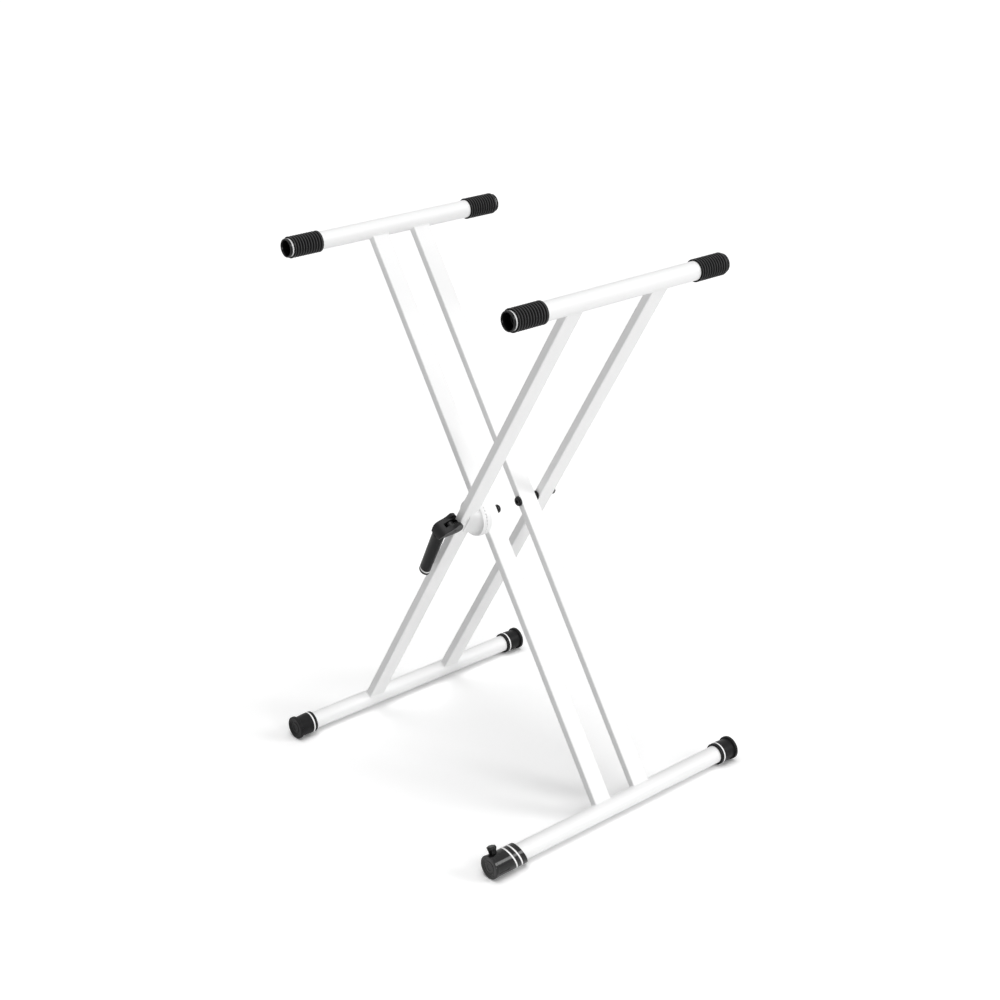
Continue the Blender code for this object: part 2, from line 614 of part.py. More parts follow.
def pull_rod(rod):
    """The rod through the clutch, with its eye in the lever's fork and its cap nut."""
    top = NUT_SEAT + WASHER_THICK + GAP + NUT_LENGTH - NUT_TOP - SLIP
    shank = turned("pull_rod", [(0.0, top), (ROD_R - 0.0005, top), (ROD_R, top - 0.0005),
                                (ROD_R, PIN_Y), (0.0, PIN_Y)], rod, BRIGHT_STEEL, SMALL_STEPS)
    bm = bmesh.new()
    bmesh.ops.create_cone(bm, cap_ends=True, segments=20, radius1=ROD_EYE_R, radius2=ROD_EYE_R,
                          depth=ROD_EYE_WIDTH)
    eye = place(mesh_object("rod_eye", bm), rod, None,
                Matrix.Translation((0.0, PIN_Y, 0.0)) @ Matrix.Rotation(math.pi / 2, 4, "Y"))
    pin_hole = pin_cylinder("rod_pin_hole", bore_for(LEVER_PIN_R), 2 * ROD_EYE_WIDTH, rod)
    join(shank, eye)
    cut(shank, pin_hole)
    pin = pin_cylinder("lever_pin", LEVER_PIN_R, 2 * FLANK_HALF_WIDTH - 0.002, rod, BLACK_STEEL)
    seat = NUT_SEAT + GAP
    pipe("near_washer", WASHER_R, bore_for(ROD_R), seat, seat + WASHER_THICK, rod, BLACK_STEEL, SMALL_STEPS)
    cap_nut("near_cap_nut", seat + WASHER_THICK + GAP, rod)
    return pin


def cap_nut(name, seat, parent):
    """A round cap nut with a domed end and a blind bore."""
    length = NUT_LENGTH
    dome = [(0.0, length)]
    for step in range(1, 5):
        angle = math.radians(22.5 * step)
        dome.append((NUT_R * math.sin(angle), length - NUT_R * 0.62 * (1 - math.cos(angle))))
    bore = bore_for(ROD_R)
    profile = dome + [(NUT_R, 0.0), (bore, 0.0), (bore, length - NUT_TOP), (0.0, length - NUT_TOP)]
    turned(name, profile, parent, BLACK_STEEL, SMALL_STEPS, y=seat)


def pin_cylinder(name, radius, length, parent, spec=None, y=PIN_Y):
    """A cylinder on the lever's pin axis, across the fork."""
    bm = bmesh.new()
    bmesh.ops.create_cone(bm, cap_ends=True, segments=SMALL_STEPS, radius1=radius, radius2=radius,
                          depth=length)
    matrix = Matrix.Translation((0.0, y, 0.0)) @ Matrix.Rotation(math.pi / 2, 4, "Y")
    return place(mesh_object(name, bm), parent, spec, matrix)


def sleeves(outer, inner):
    """Steel sleeves through the legs, which keep their thin walls from being crushed."""
    half = LEG_WIDTH / 2
    for name, frame, y, shaft in (("outer_near_sleeve", outer, OUTER_NEAR_Y, ROD_R),
                                  ("inner_near_sleeve", inner, INNER_NEAR_Y, ROD_R),
                                  ("inner_far_sleeve", inner, INNER_FAR_Y, BOLT_R),
                                  ("outer_far_sleeve", outer, OUTER_FAR_Y, BOLT_R)):
        pipe(name, SLEEVE_R, bore_for(shaft), y - half, y + half, frame, BRIGHT_STEEL, SMALL_STEPS)


def far_pivot(outer):
    """The bolt, spring washer and nut on which the far legs turn."""
    start = BOLT_SEAT - GAP
    end = FAR_FACE + FAR_NUT_LENGTH + 0.0012
    bolt = turned("far_pivot_bolt", [(0.0, end), (BOLT_R - 0.0005, end), (BOLT_R, end - 0.0005),
                                     (BOLT_R, start), (BOLT_HEAD_R, start),
                                     (BOLT_HEAD_R, start - BOLT_HEAD * 0.45),
                                     (BOLT_HEAD_R * 0.93, start - BOLT_HEAD * 0.75),
                                     (BOLT_HEAD_R * 0.70, start - BOLT_HEAD), (0.0, start - BOLT_HEAD)],
                  outer, BLACK_STEEL, SMALL_STEPS)
    socket = rod_cutter("bolt_socket", BOLT_SOCKET_R, start - BOLT_HEAD - 0.001,
                        start - BOLT_HEAD + BOLT_SOCKET_DEPTH, outer, 6)
    cut(bolt, socket)
    pipe("far_spring_washer", FAR_SPRING_R, bore_for(BOLT_R), FAR_GAP[0] + GAP, FAR_GAP[1] - GAP,
         outer, BLACK_RUBBER, SMALL_STEPS)
    seat = FAR_FACE + GAP
    top = seat + FAR_NUT_LENGTH
    nut = turned("far_pivot_nut", [(0.0, top), (FAR_NUT_R, top), (FAR_NUT_R, seat), (0.0, seat)],
                 outer, BLACK_STEEL, 6)
    cut(nut, rod_cutter("far_nut_bore", bore_for(BOLT_R), seat - 0.001, top + 0.001, outer))


def cam_radius(turn):
    """The cam's radius where the lever, swung by this turn, bears on the leg."""
    return CAM_R - RELEASE_TRAVEL * turn / LEVER_SWING


def handle_matrix():
    """The handle's own axis, which leans towards the leg going down."""
    return Matrix.Translation((0.0, HANDLE_BACK, 0.0)) @ Matrix.Rotation(HANDLE_TILT, 4, "X")


def seam_corners():
    """Where the head ends against the handle, front and back, as (y, z)."""
    corners = [handle_matrix() @ Vector((0.0, side * HANDLE_HALF_DEPTH, HANDLE_SEAM)) for side in (-1, 1)]
    return [(corner.y, corner.z) for corner in corners]


def cam_outline():
    """The cam block's side view about its pin, as (y, z), up its bearing face."""
    points = []
    for step in range(CAM_DWELL_STEPS, 0, -1):
        turn = -CAM_DWELL * step / CAM_DWELL_STEPS
        points.append((CAM_R * math.cos(turn), CAM_R * math.sin(turn)))
    for step in range(CAM_STEPS + 1):
        turn = math.pi / 2 * step / CAM_STEPS
        radius = cam_radius(turn)
        points.append((radius * math.cos(turn), radius * math.sin(turn)))
    return points + list(HEAD_TOP[1:]) + seam_corners() + list(HEAD_THROAT)


def flank_outline():
    """A flank's side view, as (y, z): round tip, top, back, seam and throat."""
    points = []
    for step in range(FLANK_TIP_STEPS + 1):
        turn = FLANK_TIP_FROM + (math.pi / 2 - FLANK_TIP_FROM) * step / FLANK_TIP_STEPS
        points.append((FLANK_TIP[0] + FLANK_TIP_R * math.cos(turn), FLANK_TIP[1] + FLANK_TIP_R * math.sin(turn)))
    return points + list(HEAD_TOP) + seam_corners() + list(HEAD_THROAT)


def side_prism(name, outline, half_width, axis, spec=None, edge=0.0):
    """A side view pushed out across the fork, narrowed towards the handle, its edges rounded when asked."""
    bm = bmesh.new()
    side = [bm.verts.new((-half_width, y, z)) for y, z in outline]
    bm.faces.new(side)
    swept = bmesh.ops.extrude_face_region(bm, geom=list(bm.faces))
    moved = [v for v in swept["geom"] if isinstance(v, bmesh.types.BMVert)]
    bmesh.ops.translate(bm, vec=(2 * half_width, 0.0, 0.0), verts=moved)
    seam = seam_corners()[0][1]
    if half_width > HANDLE_HALF_WIDTH:
        for vert in bm.verts:
            share = min(1.0, max(0.0, (HEAD_TAPER_FROM - vert.co.z) / (HEAD_TAPER_FROM - seam)))
            vert.co.x *= 1 - share * (1 - HANDLE_HALF_WIDTH / half_width)
    bmesh.ops.recalc_face_normals(bm, faces=bm.faces)
    if edge:
        rims = [e for e in bm.edges if abs(e.verts[0].co.x - e.verts[1].co.x) < half_width
                and max(v.co.z for v in e.verts) > HANDLE_SEAM * 0.9]
        bmesh.ops.bevel(bm, geom=rims, offset=edge, segments=2, profile=0.5, affect="EDGES")
    return place(mesh_object(name, bm), axis, spec)


def lever_head(axis):
    """The fork: two flanks that straddle the leg, the cam block between them, and the handle's core."""
    head = side_prism("lever_head", flank_outline(), FLANK_HALF_WIDTH, axis, BLACK_PLASTIC, FLANK_EDGE)
    straddle = LEG_DEPTH / 2 + SLIP
    throat = block("fork_throat", (2 * straddle, 0.08, 0.08), (0.0, 0.0, 0.0), axis)
    cam = side_prism("cam_block", cam_outline(), straddle + SLIP, axis)
    low = HANDLE_END - HANDLE_RING - HANDLE_CAP * 0.4
    core = turned("lever_core", [(0.0, HANDLE_SEAM + 0.004), (HANDLE_CORE_R, HANDLE_SEAM + 0.004),
                                 (HANDLE_CORE_R, low), (0.0, low)],
                  axis, None, SMALL_STEPS, matrix=handle_matrix())
    slot = block("fork_slot", (FORK_SLOT, 0.05, 0.05),
                 (0.0, FORK_SLOT_BACK + 0.025, FORK_SLOT_BOTTOM + 0.025), axis)
    hole = pin_cylinder("fork_pin_hole", bore_for(LEVER_PIN_R), 4 * FLANK_HALF_WIDTH, axis, y=0.0)
    cut(head, throat)
    join(head, cam, core)
    cut(head, slot, hole)


def oval_turn(name, rings, axis, spec):
    """A piece with oval sections on the handle's axis, as (half width, half depth, height) rings.

    The rings run round the wall, and one of no width closes its end to a point.
    """
    bm = bmesh.new()
    loops = []
    for half_x, half_y, height in rings:
        count = HANDLE_STEPS if half_x else 1
        loops.append([bm.verts.new((half_x * math.cos(2 * math.pi * (step + 0.5) / HANDLE_STEPS),
                                    half_y * math.sin(2 * math.pi * (step + 0.5) / HANDLE_STEPS), height))
                      for step in range(count)])
    pairs = list(zip(loops, loops[1:]))
    if len(loops[0]) > 1:
        pairs.append((loops[-1], loops[0]))
    for first, second in pairs:
        for step in range(HANDLE_STEPS):
            after = (step + 1) % HANDLE_STEPS
            corners = [first[step % len(first)], first[after % len(first)],
                       second[after % len(second)], second[step % len(second)]]
            bm.faces.new(list(dict.fromkeys(corners)))
    return place(mesh_object(name, bm), axis, spec, handle_matrix())


def lever(axis):
    """The cam lever: head, rubber handle, white ring and end cap."""
    lever_head(axis)
    bore = bore_for(HANDLE_CORE_R, HANDLE_STEPS)
    wide = HANDLE_HALF_WIDTH
    deep = HANDLE_HALF_DEPTH
    top = HANDLE_SEAM - GAP
    end = HANDLE_END
    oval_turn("lever_handle", [(bore, bore, top), (wide, deep, top), (wide, deep, end), (bore, bore, end)],
              axis, BLACK_RUBBER)
    high = end - GAP
    low = end - HANDLE_RING + GAP
    oval_turn("lever_ring", [(bore, bore, high), (wide, deep, high), (wide, deep, low), (bore, bore, low)],
              axis, RING_WHITE)
    cap = end - HANDLE_RING
    floor = cap - HANDLE_CAP * 0.4 - GAP
    oval_turn("lever_end_cap", [(0.0, 0.0, floor), (bore, bore, floor), (bore, bore, cap), (wide, deep, cap),
                                (wide, deep, cap - HANDLE_CAP * 0.45),
                                (wide * 0.9, deep * 0.9, cap - HANDLE_CAP * 0.85),
                                (wide * 0.7, deep * 0.7, cap - HANDLE_CAP), (0.0, 0.0, cap - HANDLE_CAP)],
              axis, BLACK_RUBBER)


def outer_frame(frame):
    """The frame that leans right: legs, tubes and their ends."""
    leg("outer_leg_near", frame, OUTER_NEAR_Y)
    leg("outer_leg_far", frame, OUTER_FAR_Y)
    top_tube("outer", frame, LEAN)
    foot_tube("outer", frame, LEAN, ("near", "far"))


def inner_frame(frame):
    """The frame that leans left, with the levelling foot on its near end."""
    leg("inner_leg_near", frame, INNER_NEAR_Y)
    leg("inner_leg_far", frame, INNER_FAR_Y)
    top_tube("inner", frame, -LEAN)
    foot = foot_tube("inner", frame, -LEAN, ("far",))
    levelling_foot(foot, -LEAN)


def main():
    """Build the stand round its pivot."""
    clear_scene()
    pivot = pivot_empty("stand_pivot", None, (0.0, MIDDLE_Y, AXLE_HEIGHT))
    outer = pivot_empty("outer_frame_axis", pivot, (0.0, 0.0, 0.0), LEAN)
    inner = pivot_empty("inner_frame_axis", pivot, (0.0, 0.0, 0.0), -LEAN)
    rod = pivot_empty("pull_rod_axis", outer, (0.0, 0.0, 0.0))
    swing = pivot_empty("lever_axis", rod, (0.0, PIN_Y, 0.0))
    outer_frame(outer)
    inner_frame(inner)
    clutch(outer, inner)
    pull_rod(rod)
    sleeves(outer, inner)
    far_pivot(outer)
    lever(swing)


main()
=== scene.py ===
"""Looks of the double-X keyboard stand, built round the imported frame.

Sizes are in millimetres, and become metres when a mesh is made. Turned pieces are drawn as a
half section, (radius, height along the axis), and spun about Z before they are put in place.
"""
import json
import logging
import math
from collections.abc import Callable, Iterable, Sequence
from dataclasses import dataclass, replace
from enum import Enum

import bmesh
import bpy
from mathutils import Matrix, Vector

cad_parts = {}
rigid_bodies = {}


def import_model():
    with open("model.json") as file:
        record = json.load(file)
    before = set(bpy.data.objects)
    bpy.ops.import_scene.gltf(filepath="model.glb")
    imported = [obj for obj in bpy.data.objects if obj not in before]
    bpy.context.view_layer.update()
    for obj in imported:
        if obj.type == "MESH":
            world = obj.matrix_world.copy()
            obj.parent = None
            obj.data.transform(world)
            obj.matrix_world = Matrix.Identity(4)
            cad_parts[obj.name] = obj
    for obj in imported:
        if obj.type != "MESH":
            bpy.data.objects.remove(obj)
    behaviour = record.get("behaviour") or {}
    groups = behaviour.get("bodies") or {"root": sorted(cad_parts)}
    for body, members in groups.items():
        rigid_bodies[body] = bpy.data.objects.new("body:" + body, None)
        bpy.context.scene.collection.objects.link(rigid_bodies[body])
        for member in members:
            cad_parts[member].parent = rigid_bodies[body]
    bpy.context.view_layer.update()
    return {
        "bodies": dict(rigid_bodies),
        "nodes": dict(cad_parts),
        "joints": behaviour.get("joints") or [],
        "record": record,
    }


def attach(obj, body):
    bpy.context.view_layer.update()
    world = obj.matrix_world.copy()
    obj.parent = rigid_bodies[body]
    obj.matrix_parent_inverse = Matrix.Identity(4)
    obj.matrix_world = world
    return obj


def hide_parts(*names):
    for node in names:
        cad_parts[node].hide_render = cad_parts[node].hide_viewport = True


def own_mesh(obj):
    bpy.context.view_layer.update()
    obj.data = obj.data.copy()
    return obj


LOG = logging.getLogger("stand")
MM = 0.001
TURN_STEPS = 96
SNUG = 0.05                     # between pieces that touch
LEAN = math.radians(32.6)       # each frame's lean from the vertical
MIDDLE_Y = 12.25                # the pivot's place along the stand
AXLE_HEIGHT = 487.1115
REACH = 30.0                    # of the tools that cut a leg, to both sides

Item = bpy.types.Object
Tree = bpy.types.NodeTree
Socket = bpy.types.NodeSocket
Outline = Sequence[tuple[float, float]]
Points = list[tuple[float, float]]
Triple = tuple[float, float, float]


class Side(Enum):
    """The two crossed frames, by the way that they lean."""

    OUTER = 1
    INNER = -1

    @property
    def word(self) -> str:
        """The frame's name in the names of nodes."""
        return self.name.lower()

    @property
    def body(self) -> str:
        """The body that the frame's pieces ride on."""
        return self.word + "_frame"

    def matrix(self) -> Matrix:
        """Return the place of the frame's own axes, which cross at the pivot."""
        pivot = Matrix.Translation((0.0, MIDDLE_Y * MM, AXLE_HEIGHT * MM))
        return pivot @ Matrix.Rotation(self.value * LEAN, 4, "Y")

    def axle(self) -> Matrix:
        """Return the place of the pivot's axis, with Z along it to the far side."""
        return self.matrix() @ heading(End.FAR)


class End(Enum):
    """The two ends of a rail. The lever is at the near one."""

    NEAR = -1
    FAR = 1

    @property
    def word(self) -> str:
        """The end's name in the names of nodes."""
        return self.name.lower()


class Slot(Enum):
    """The record's material slots."""

    POWDER = "powder_coat"
    RUBBER = "black_rubber"
    PLASTIC = "black_plastic"
    RING = "ring_plastic"
    BLACK_STEEL = "blackened_steel"
    STEEL = "bright_steel"


def move(x: float, y: float, z: float) -> Matrix:
    """Return a shift by millimetres."""
    return Matrix.Translation((x * MM, y * MM, z * MM))


def turn(degrees: float, axis: str) -> Matrix:
    """Return a turn about a main axis."""
    return Matrix.Rotation(math.radians(degrees), 4, axis)


def heading(end: End) -> Matrix:
    """Return the turn that takes a piece's own Z along a rail, out to the end."""
    return turn(-90.0 * end.value, "X")


# Modelling


def only(item: Item) -> None:
    """Leave one object selected and active, in object mode."""
    if bpy.context.mode != "OBJECT":
        bpy.ops.object.mode_set(mode="OBJECT")
    bpy.ops.object.select_all(action="DESELECT")
    item.select_set(True)
    bpy.context.view_layer.objects.active = item


def fresh() -> Item:
    """Go into edit mode on the primitive that was just added, and return it."""
    item = bpy.context.active_object
    only(item)
    bpy.ops.object.transform_apply(location=True, rotation=True, scale=True)
    bpy.ops.object.mode_set(mode="EDIT")
    return item


def choose(item: Item, kind: str, test: Callable) -> None:
    """Select by place or normal in edit mode.

    Args:
        item: The object in edit mode.
        kind: VERT, EDGE or FACE.
        test: Says whether an element is chosen.
    """
    bpy.ops.mesh.select_mode(type=kind)
    bpy.ops.mesh.select_all(action="DESELECT")
    mesh = bmesh.from_edit_mesh(item.data)
    for part in {"VERT": mesh.verts, "EDGE": mesh.edges, "FACE": mesh.faces}[kind]:
        part.select_set(bool(test(part)))
    mesh.select_flush_mode()
    bmesh.update_edit_mesh(item.data)


def drawn(points: Iterable[Vector], closed: bool) -> Item:
    """Draw a line of points by extruding one vertex from each to the next.

    Args:
        points: Places in metres.
        closed: Whether the line comes back to its start.

    Returns:
        The object, in edit mode with all selected.
    """
    path = list(points)
    if closed:
        path.append(path[0])
    bpy.ops.object.select_all(action="DESELECT")
    bpy.ops.mesh.primitive_plane_add(size=MM)
    item = fresh()
    choose(item, "VERT", lambda v: v.index > 0)
    bpy.ops.mesh.delete(type="VERT")
    bpy.ops.mesh.select_all(action="SELECT")
    spot = Vector(bmesh.from_edit_mesh(item.data).verts[:][0].co)
    bpy.ops.transform.translate(value=path[0] - spot)
    for here, there in zip(path, path[1:]):
        bpy.ops.mesh.extrude_region_move(TRANSFORM_OT_translate={"value": there - here})
    bpy.ops.mesh.select_all(action="SELECT")
    bpy.ops.mesh.remove_doubles(threshold=1e-7)
    return item


def turned(outline: Outline, closed: bool = False, steps: int = TURN_STEPS) -> Item:
    """Spin a half section about Z.

    Args:
        outline: The section, from the axis or round a wall.
        closed: Whether the section is a wall that clears the axis.
        steps: Sides of the turned piece.

    Returns:
        The turned object, in object mode.
    """
    item = drawn([Vector((r * MM, 0.0, h * MM)) for r, h in outline], closed)
    bpy.ops.mesh.spin(steps=steps, angle=2 * math.pi, center=(0.0, 0.0, 0.0), axis=(0.0, 0.0, 1.0))
    tidy_mesh()
    return item


def tidy_mesh() -> None:
    """Merge doubles, turn the faces outwards and leave edit mode."""
    bpy.ops.mesh.select_all(action="SELECT")
    bpy.ops.mesh.remove_doubles(threshold=1e-6)
    bpy.ops.mesh.normals_make_consistent(inside=False)
    bpy.ops.object.mode_set(mode="OBJECT")


def prism(outline: Outline, half_width: float) -> Item:
    """Push a side view in (Y, Z) out to both sides along X.

    Args:
        outline: The side view.
        half_width: Half of its width.

    Returns:
        The object, in object mode.
    """
    item = drawn([Vector((-half_width * MM, y * MM, z * MM)) for y, z in outline], True)
    bpy.ops.mesh.edge_face_add()
    bpy.ops.mesh.extrude_region_move(TRANSFORM_OT_translate={"value": (2 * half_width * MM, 0.0, 0.0)})
    tidy_mesh()
    return item


def raised(points: Iterable[Vector], rows: Sequence[Triple]) -> Item:
    """Fill an outline and raise it along Z in steps.

    Args:
        points: The outline, in metres.
        rows: Height, width and breadth at each step, of which the first are the outline's own.

    Returns:
        The object, in edit mode with its last face selected.
    """
    item = drawn(points, True)
    bpy.ops.mesh.edge_face_add()
    for (low, wide, broad), (high, next_wide, next_broad) in zip(rows, rows[1:]):
        rise = (0.0, 0.0, (high - low) * MM)
        bpy.ops.mesh.extrude_region_move(TRANSFORM_OT_translate={"value": rise})
        growth = (next_wide / wide, next_broad / broad, 1.0)
        bpy.ops.transform.resize(value=growth, center_override=(0.0, 0.0, 0.0))
    return item


def rod(radius: float, low: float, high: float, sides: int = TURN_STEPS) -> Item:
    """Add a plain cylinder about Z, as a tool or a start.

    Args:
        radius: Its radius.
        low: Where it starts.
        high: Where it ends.
        sides: Its sides.

    Returns:
        The object, in object mode.
    """
    bpy.ops.object.select_all(action="DESELECT")
    bpy.ops.mesh.primitive_cylinder_add(vertices=sides, radius=radius * MM, depth=(high - low) * MM,
                                        location=(0.0, 0.0, (low + high) / 2 * MM))
    item = fresh()
    bpy.ops.object.mode_set(mode="OBJECT")
    return item


def bar(low: Triple, high: Triple) -> Item:
    """Add a box between two corners, as a tool or a start.

    Args:
        low: Its lowest corner.
        high: Its highest corner.

    Returns:
        The object, in object mode.
    """
    bpy.ops.object.select_all(action="DESELECT")
    bpy.ops.mesh.primitive_cube_add(size=1.0, location=[(a + b) / 2 * MM for a, b in zip(low, high)],
                                    scale=[(b - a) * MM for a, b in zip(low, high)])
    item = fresh()
    bpy.ops.object.mode_set(mode="OBJECT")
    return item


def put(item: Item, matrix: Matrix) -> Item:
    """Move a piece, with its place kept in its mesh.

    Args:
        item: The piece.
        matrix: Where it goes.

    Returns:
        The piece.
    """
    only(item)
    item.matrix_world = matrix @ item.matrix_world
    bpy.ops.object.transform_apply(location=True, rotation=True, scale=True)
    return item


def copied(item: Item) -> Item:
    """Return a copy of a piece, with a mesh of its own."""
    only(item)
    bpy.ops.object.duplicate()
    return bpy.context.active_object


def drop(*items: Item) -> None:
    """Remove objects that are used up."""
    for item in items:
        bpy.data.objects.remove(item, do_unlink=True)


def wired(radius: float, resolution: int, ripple: Callable[[int], float] | None = None,
          caps: bool = False) -> Item:
    """Make a round wire of the line that is being drawn.

    Args:
        radius: The wire's radius.
        resolution: Its curve resolution.
        ripple: Says by what factor the wire swells at a point of the line.
        caps: Whether its ends are closed.

    Returns:
        The wire as a mesh, in object mode.
    """
    bpy.ops.object.mode_set(mode="OBJECT")
    bpy.ops.object.convert(target="CURVE")
    line = bpy.context.active_object.data
    line.bevel_depth = radius * MM
    line.bevel_resolution = resolution
    line.use_fill_caps = caps
    if ripple:
        for number, point in enumerate(line.splines[0].points):
            point.radius = ripple(number)
    bpy.ops.object.convert(target="MESH")
    return bpy.context.active_object


def fitted(item: Item, kind: str, **settings: object) -> Item:
    """Add a modifier and apply it.

    Args:
        item: The piece.
        kind: The modifier's type.
        settings: Its settings.

    Returns:
        The piece.
    """
    only(item)
    step = item.modifiers.new(kind.lower(), kind)
    for key, value in settings.items():
        setattr(step, key, value)
    bpy.ops.object.modifier_apply(modifier=step.name)
    return item


def eased(item: Item, width: float, segments: int = 3, angle: float = 32.0) -> Item:
    """Round the edges that are sharper than an angle.

    Args:
        item: The piece.
        width: Width of the rounding.
        segments: Its segments.
        angle: The angle in degrees.

    Returns:
        The piece.
    """
    return fitted(item, "BEVEL", width=width * MM, segments=segments, limit_method="ANGLE",
                  angle_limit=math.radians(angle), use_clamp_overlap=True)


def merged(item: Item, operation: str, *others: Item) -> Item:
    """Cut or unite a piece with others, which are used up.

    Args:
        item: The piece.
        operation: DIFFERENCE, UNION or INTERSECT.
        others: The other shapes.

    Returns:
        The piece.
    """
    for other in others:
        fitted(item, "BOOLEAN", operation=operation, solver="EXACT", object=other)
        drop(other)
    return item


def smooth(item: Item, angle: float) -> None:
    """Shade a piece smooth apart from its sharp edges, with flat faces kept flat beside rounded ones."""
    only(item)
    bpy.ops.object.shade_smooth_by_angle(angle=math.radians(angle))
    fitted(item, "WEIGHTED_NORMAL", keep_sharp=True, weight=60)


def flowing(points: Outline, per: int = 5) -> Points:
    """Run a smooth curve through points.

    Args:
        points: The points.
        per: Steps between two of them.

    Returns:
        The curve's points, with the first and the last kept.
    """
    ends = [points[0], *points, points[-1]]
    curve = []
    for a, b, c, d in zip(ends, ends[1:], ends[2:], ends[3:]):
        for step in range(per):
            t = step / per
            curve.append(tuple(0.5 * (2 * q + (r - p) * t + (2 * p - 5 * q + 4 * r - s) * t * t
                                      + (3 * q - p - 3 * r + s) * t ** 3)
                               for p, q, r, s in zip(a, b, c, d)))
    return [*curve, points[-1]]


def edged(inner: float, outer: float, low: float, high: float, lip: float) -> Points:
    """Return the section of a turned wall whose outer corners are cut by a lip."""
    return [(inner, low), (outer - lip, low), (outer, low + lip), (outer, high - lip), (outer - lip, high),
            (inner, high)]


def arc(centre: tuple[float, float], radius: float, first: float, last: float,
        steps: int) -> Points:
    """Return points on an arc, from one angle in degrees to another."""
    angles = [math.radians(first + (last - first) * step / steps) for step in range(steps + 1)]
    return [(centre[0] + radius * math.cos(a), centre[1] + radius * math.sin(a)) for a in angles]


def node(tree: Tree, kind: str, inputs: dict[str | int, object],
         **settings: object) -> Socket:
    """Add a node to a tree, and set or link its inputs.

    Args:
        tree: The tree.
        kind: The node's type, without its first word.
        inputs: A socket to link from, or a value, for each input.
        settings: The node's own settings.

    Returns:
        The node's first output that is in use, or None.
    """
    made = tree.nodes.new("ShaderNode" + kind)
    for key, value in settings.items():
        setattr(made, key, value)
    for key, value in inputs.items():
        if isinstance(value, Socket):
            tree.links.new(value, made.inputs[key])
        else:
            made.inputs[key].default_value = value
    return next((socket for socket in made.outputs if socket.enabled), None)


def grey(tone: float) -> tuple[float, float, float, float]:
    """Return a plain grey."""
    return (tone, tone, tone, 1.0)


@dataclass(frozen=True)
class Finish:
    """A procedural finish on object coordinates: colour drift, gloss drift, grain and, where it is set, a
    painted highlight on the crests of ribs.
    """

    name: str
    slot: Slot
    colour: Triple
    drift: float
    drift_scale: float
    roughness: float
    gloss_drift: float
    grain_scale: float
    grain_depth: float
    specular: float = 0.5
    metallic: float = 0.0
    # The four fields below paint a highlight on the crests of ribs, which leaves the grooves darker: its
    # colour, the rib pitch, where the first crest lies and how narrow it is.
    worn: Triple | None = None
    worn_pitch: float = 1.0
    worn_from: float = 0.0
    worn_narrow: float = 3.0

    def crests(self, tree: Tree, place: Socket) -> Socket:
        """Find the crests of ribs that follow each other along Y, alike on both sides of the middle, where a
        painted highlight goes.

        Args:
            tree: The material's nodes.
            place: Object coordinates.

        Returns:
            A socket that is 1 on a crest and 0 in a groove.
        """
        apart = tree.nodes.new("ShaderNodeSeparateXYZ")
        tree.links.new(place, apart.inputs["Vector"])
        value = apart.outputs["Y"]
        for operation, number in (("SUBTRACT", MIDDLE_Y * MM), ("ABSOLUTE", 0.0),
                                  ("SUBTRACT", self.worn_from * MM),
                                  ("MULTIPLY", 2 * math.pi / (self.worn_pitch * MM)), ("COSINE", 0.0),
                                  ("MULTIPLY", 0.5), ("ADD", 0.5), ("POWER", self.worn_narrow)):
            value = node(tree, "Math", {0: value, 1: number}, operation=operation)
        return value

    def paint(self, tree: Tree, place: Socket,
              drift: Socket) -> Socket:
        """Mix the colour, which drifts, with a painted highlight on the crests of the ribs.

        Args:
            tree: The material's nodes.
            place: Object coordinates.
            drift: A slow noise.

        Returns:
            The colour's socket.
        """
        tones = tree.nodes.new("ShaderNodeValToRGB")
        low, high = tones.color_ramp.elements
        low.position, high.position = 0.3, 0.7
        low.color = (*[c * (1.0 - self.drift) for c in self.colour], 1.0)
        high.color = (*self.colour, 1.0)
        tree.links.new(drift, tones.inputs["Fac"])
        if not self.worn:
            return tones.outputs["Color"]
        # Painted highlight: the crests are mixed towards a paler colour, so the grooves stay darker.
        rubbed = {"Factor": self.crests(tree, place), "A": tones.outputs["Color"], "B": (*self.worn, 1.0)}
        return node(tree, "Mix", rubbed, data_type="RGBA")

    def material(self) -> bpy.types.Material:
        """Return the finish as a node material, made once and shared."""
        made = bpy.data.materials.get(self.name)
        if made is not None:
            return made
        made = bpy.data.materials.new(self.name)
        made.use_nodes = True
        tree = made.node_tree
        place = tree.nodes.new("ShaderNodeTexCoord").outputs["Object"]
        drift = node(tree, "TexNoise", {"Scale": self.drift_scale, "Detail": 3.0, "Vector": place})
        gloss = node(tree, "MapRange", {"To Min": self.roughness - self.gloss_drift,
                                        "To Max": self.roughness + self.gloss_drift, "Value": drift})
        grain = node(tree, "TexNoise", {"Scale": self.grain_scale, "Detail": 2.0, "Vector": place})
        bump = node(tree, "Bump", {"Strength": 1.0, "Distance": self.grain_depth, "Height": grain})
        shader = tree.nodes["Principled BSDF"]
        shader.inputs["Metallic"].default_value = self.metallic
        shader.inputs["Specular IOR Level"].default_value = self.specular
        for socket, key in ((self.paint(tree, place, drift), "Base Color"), (gloss, "Roughness"),
                            (bump, "Normal")):
            tree.links.new(socket, shader.inputs[key])
        return made


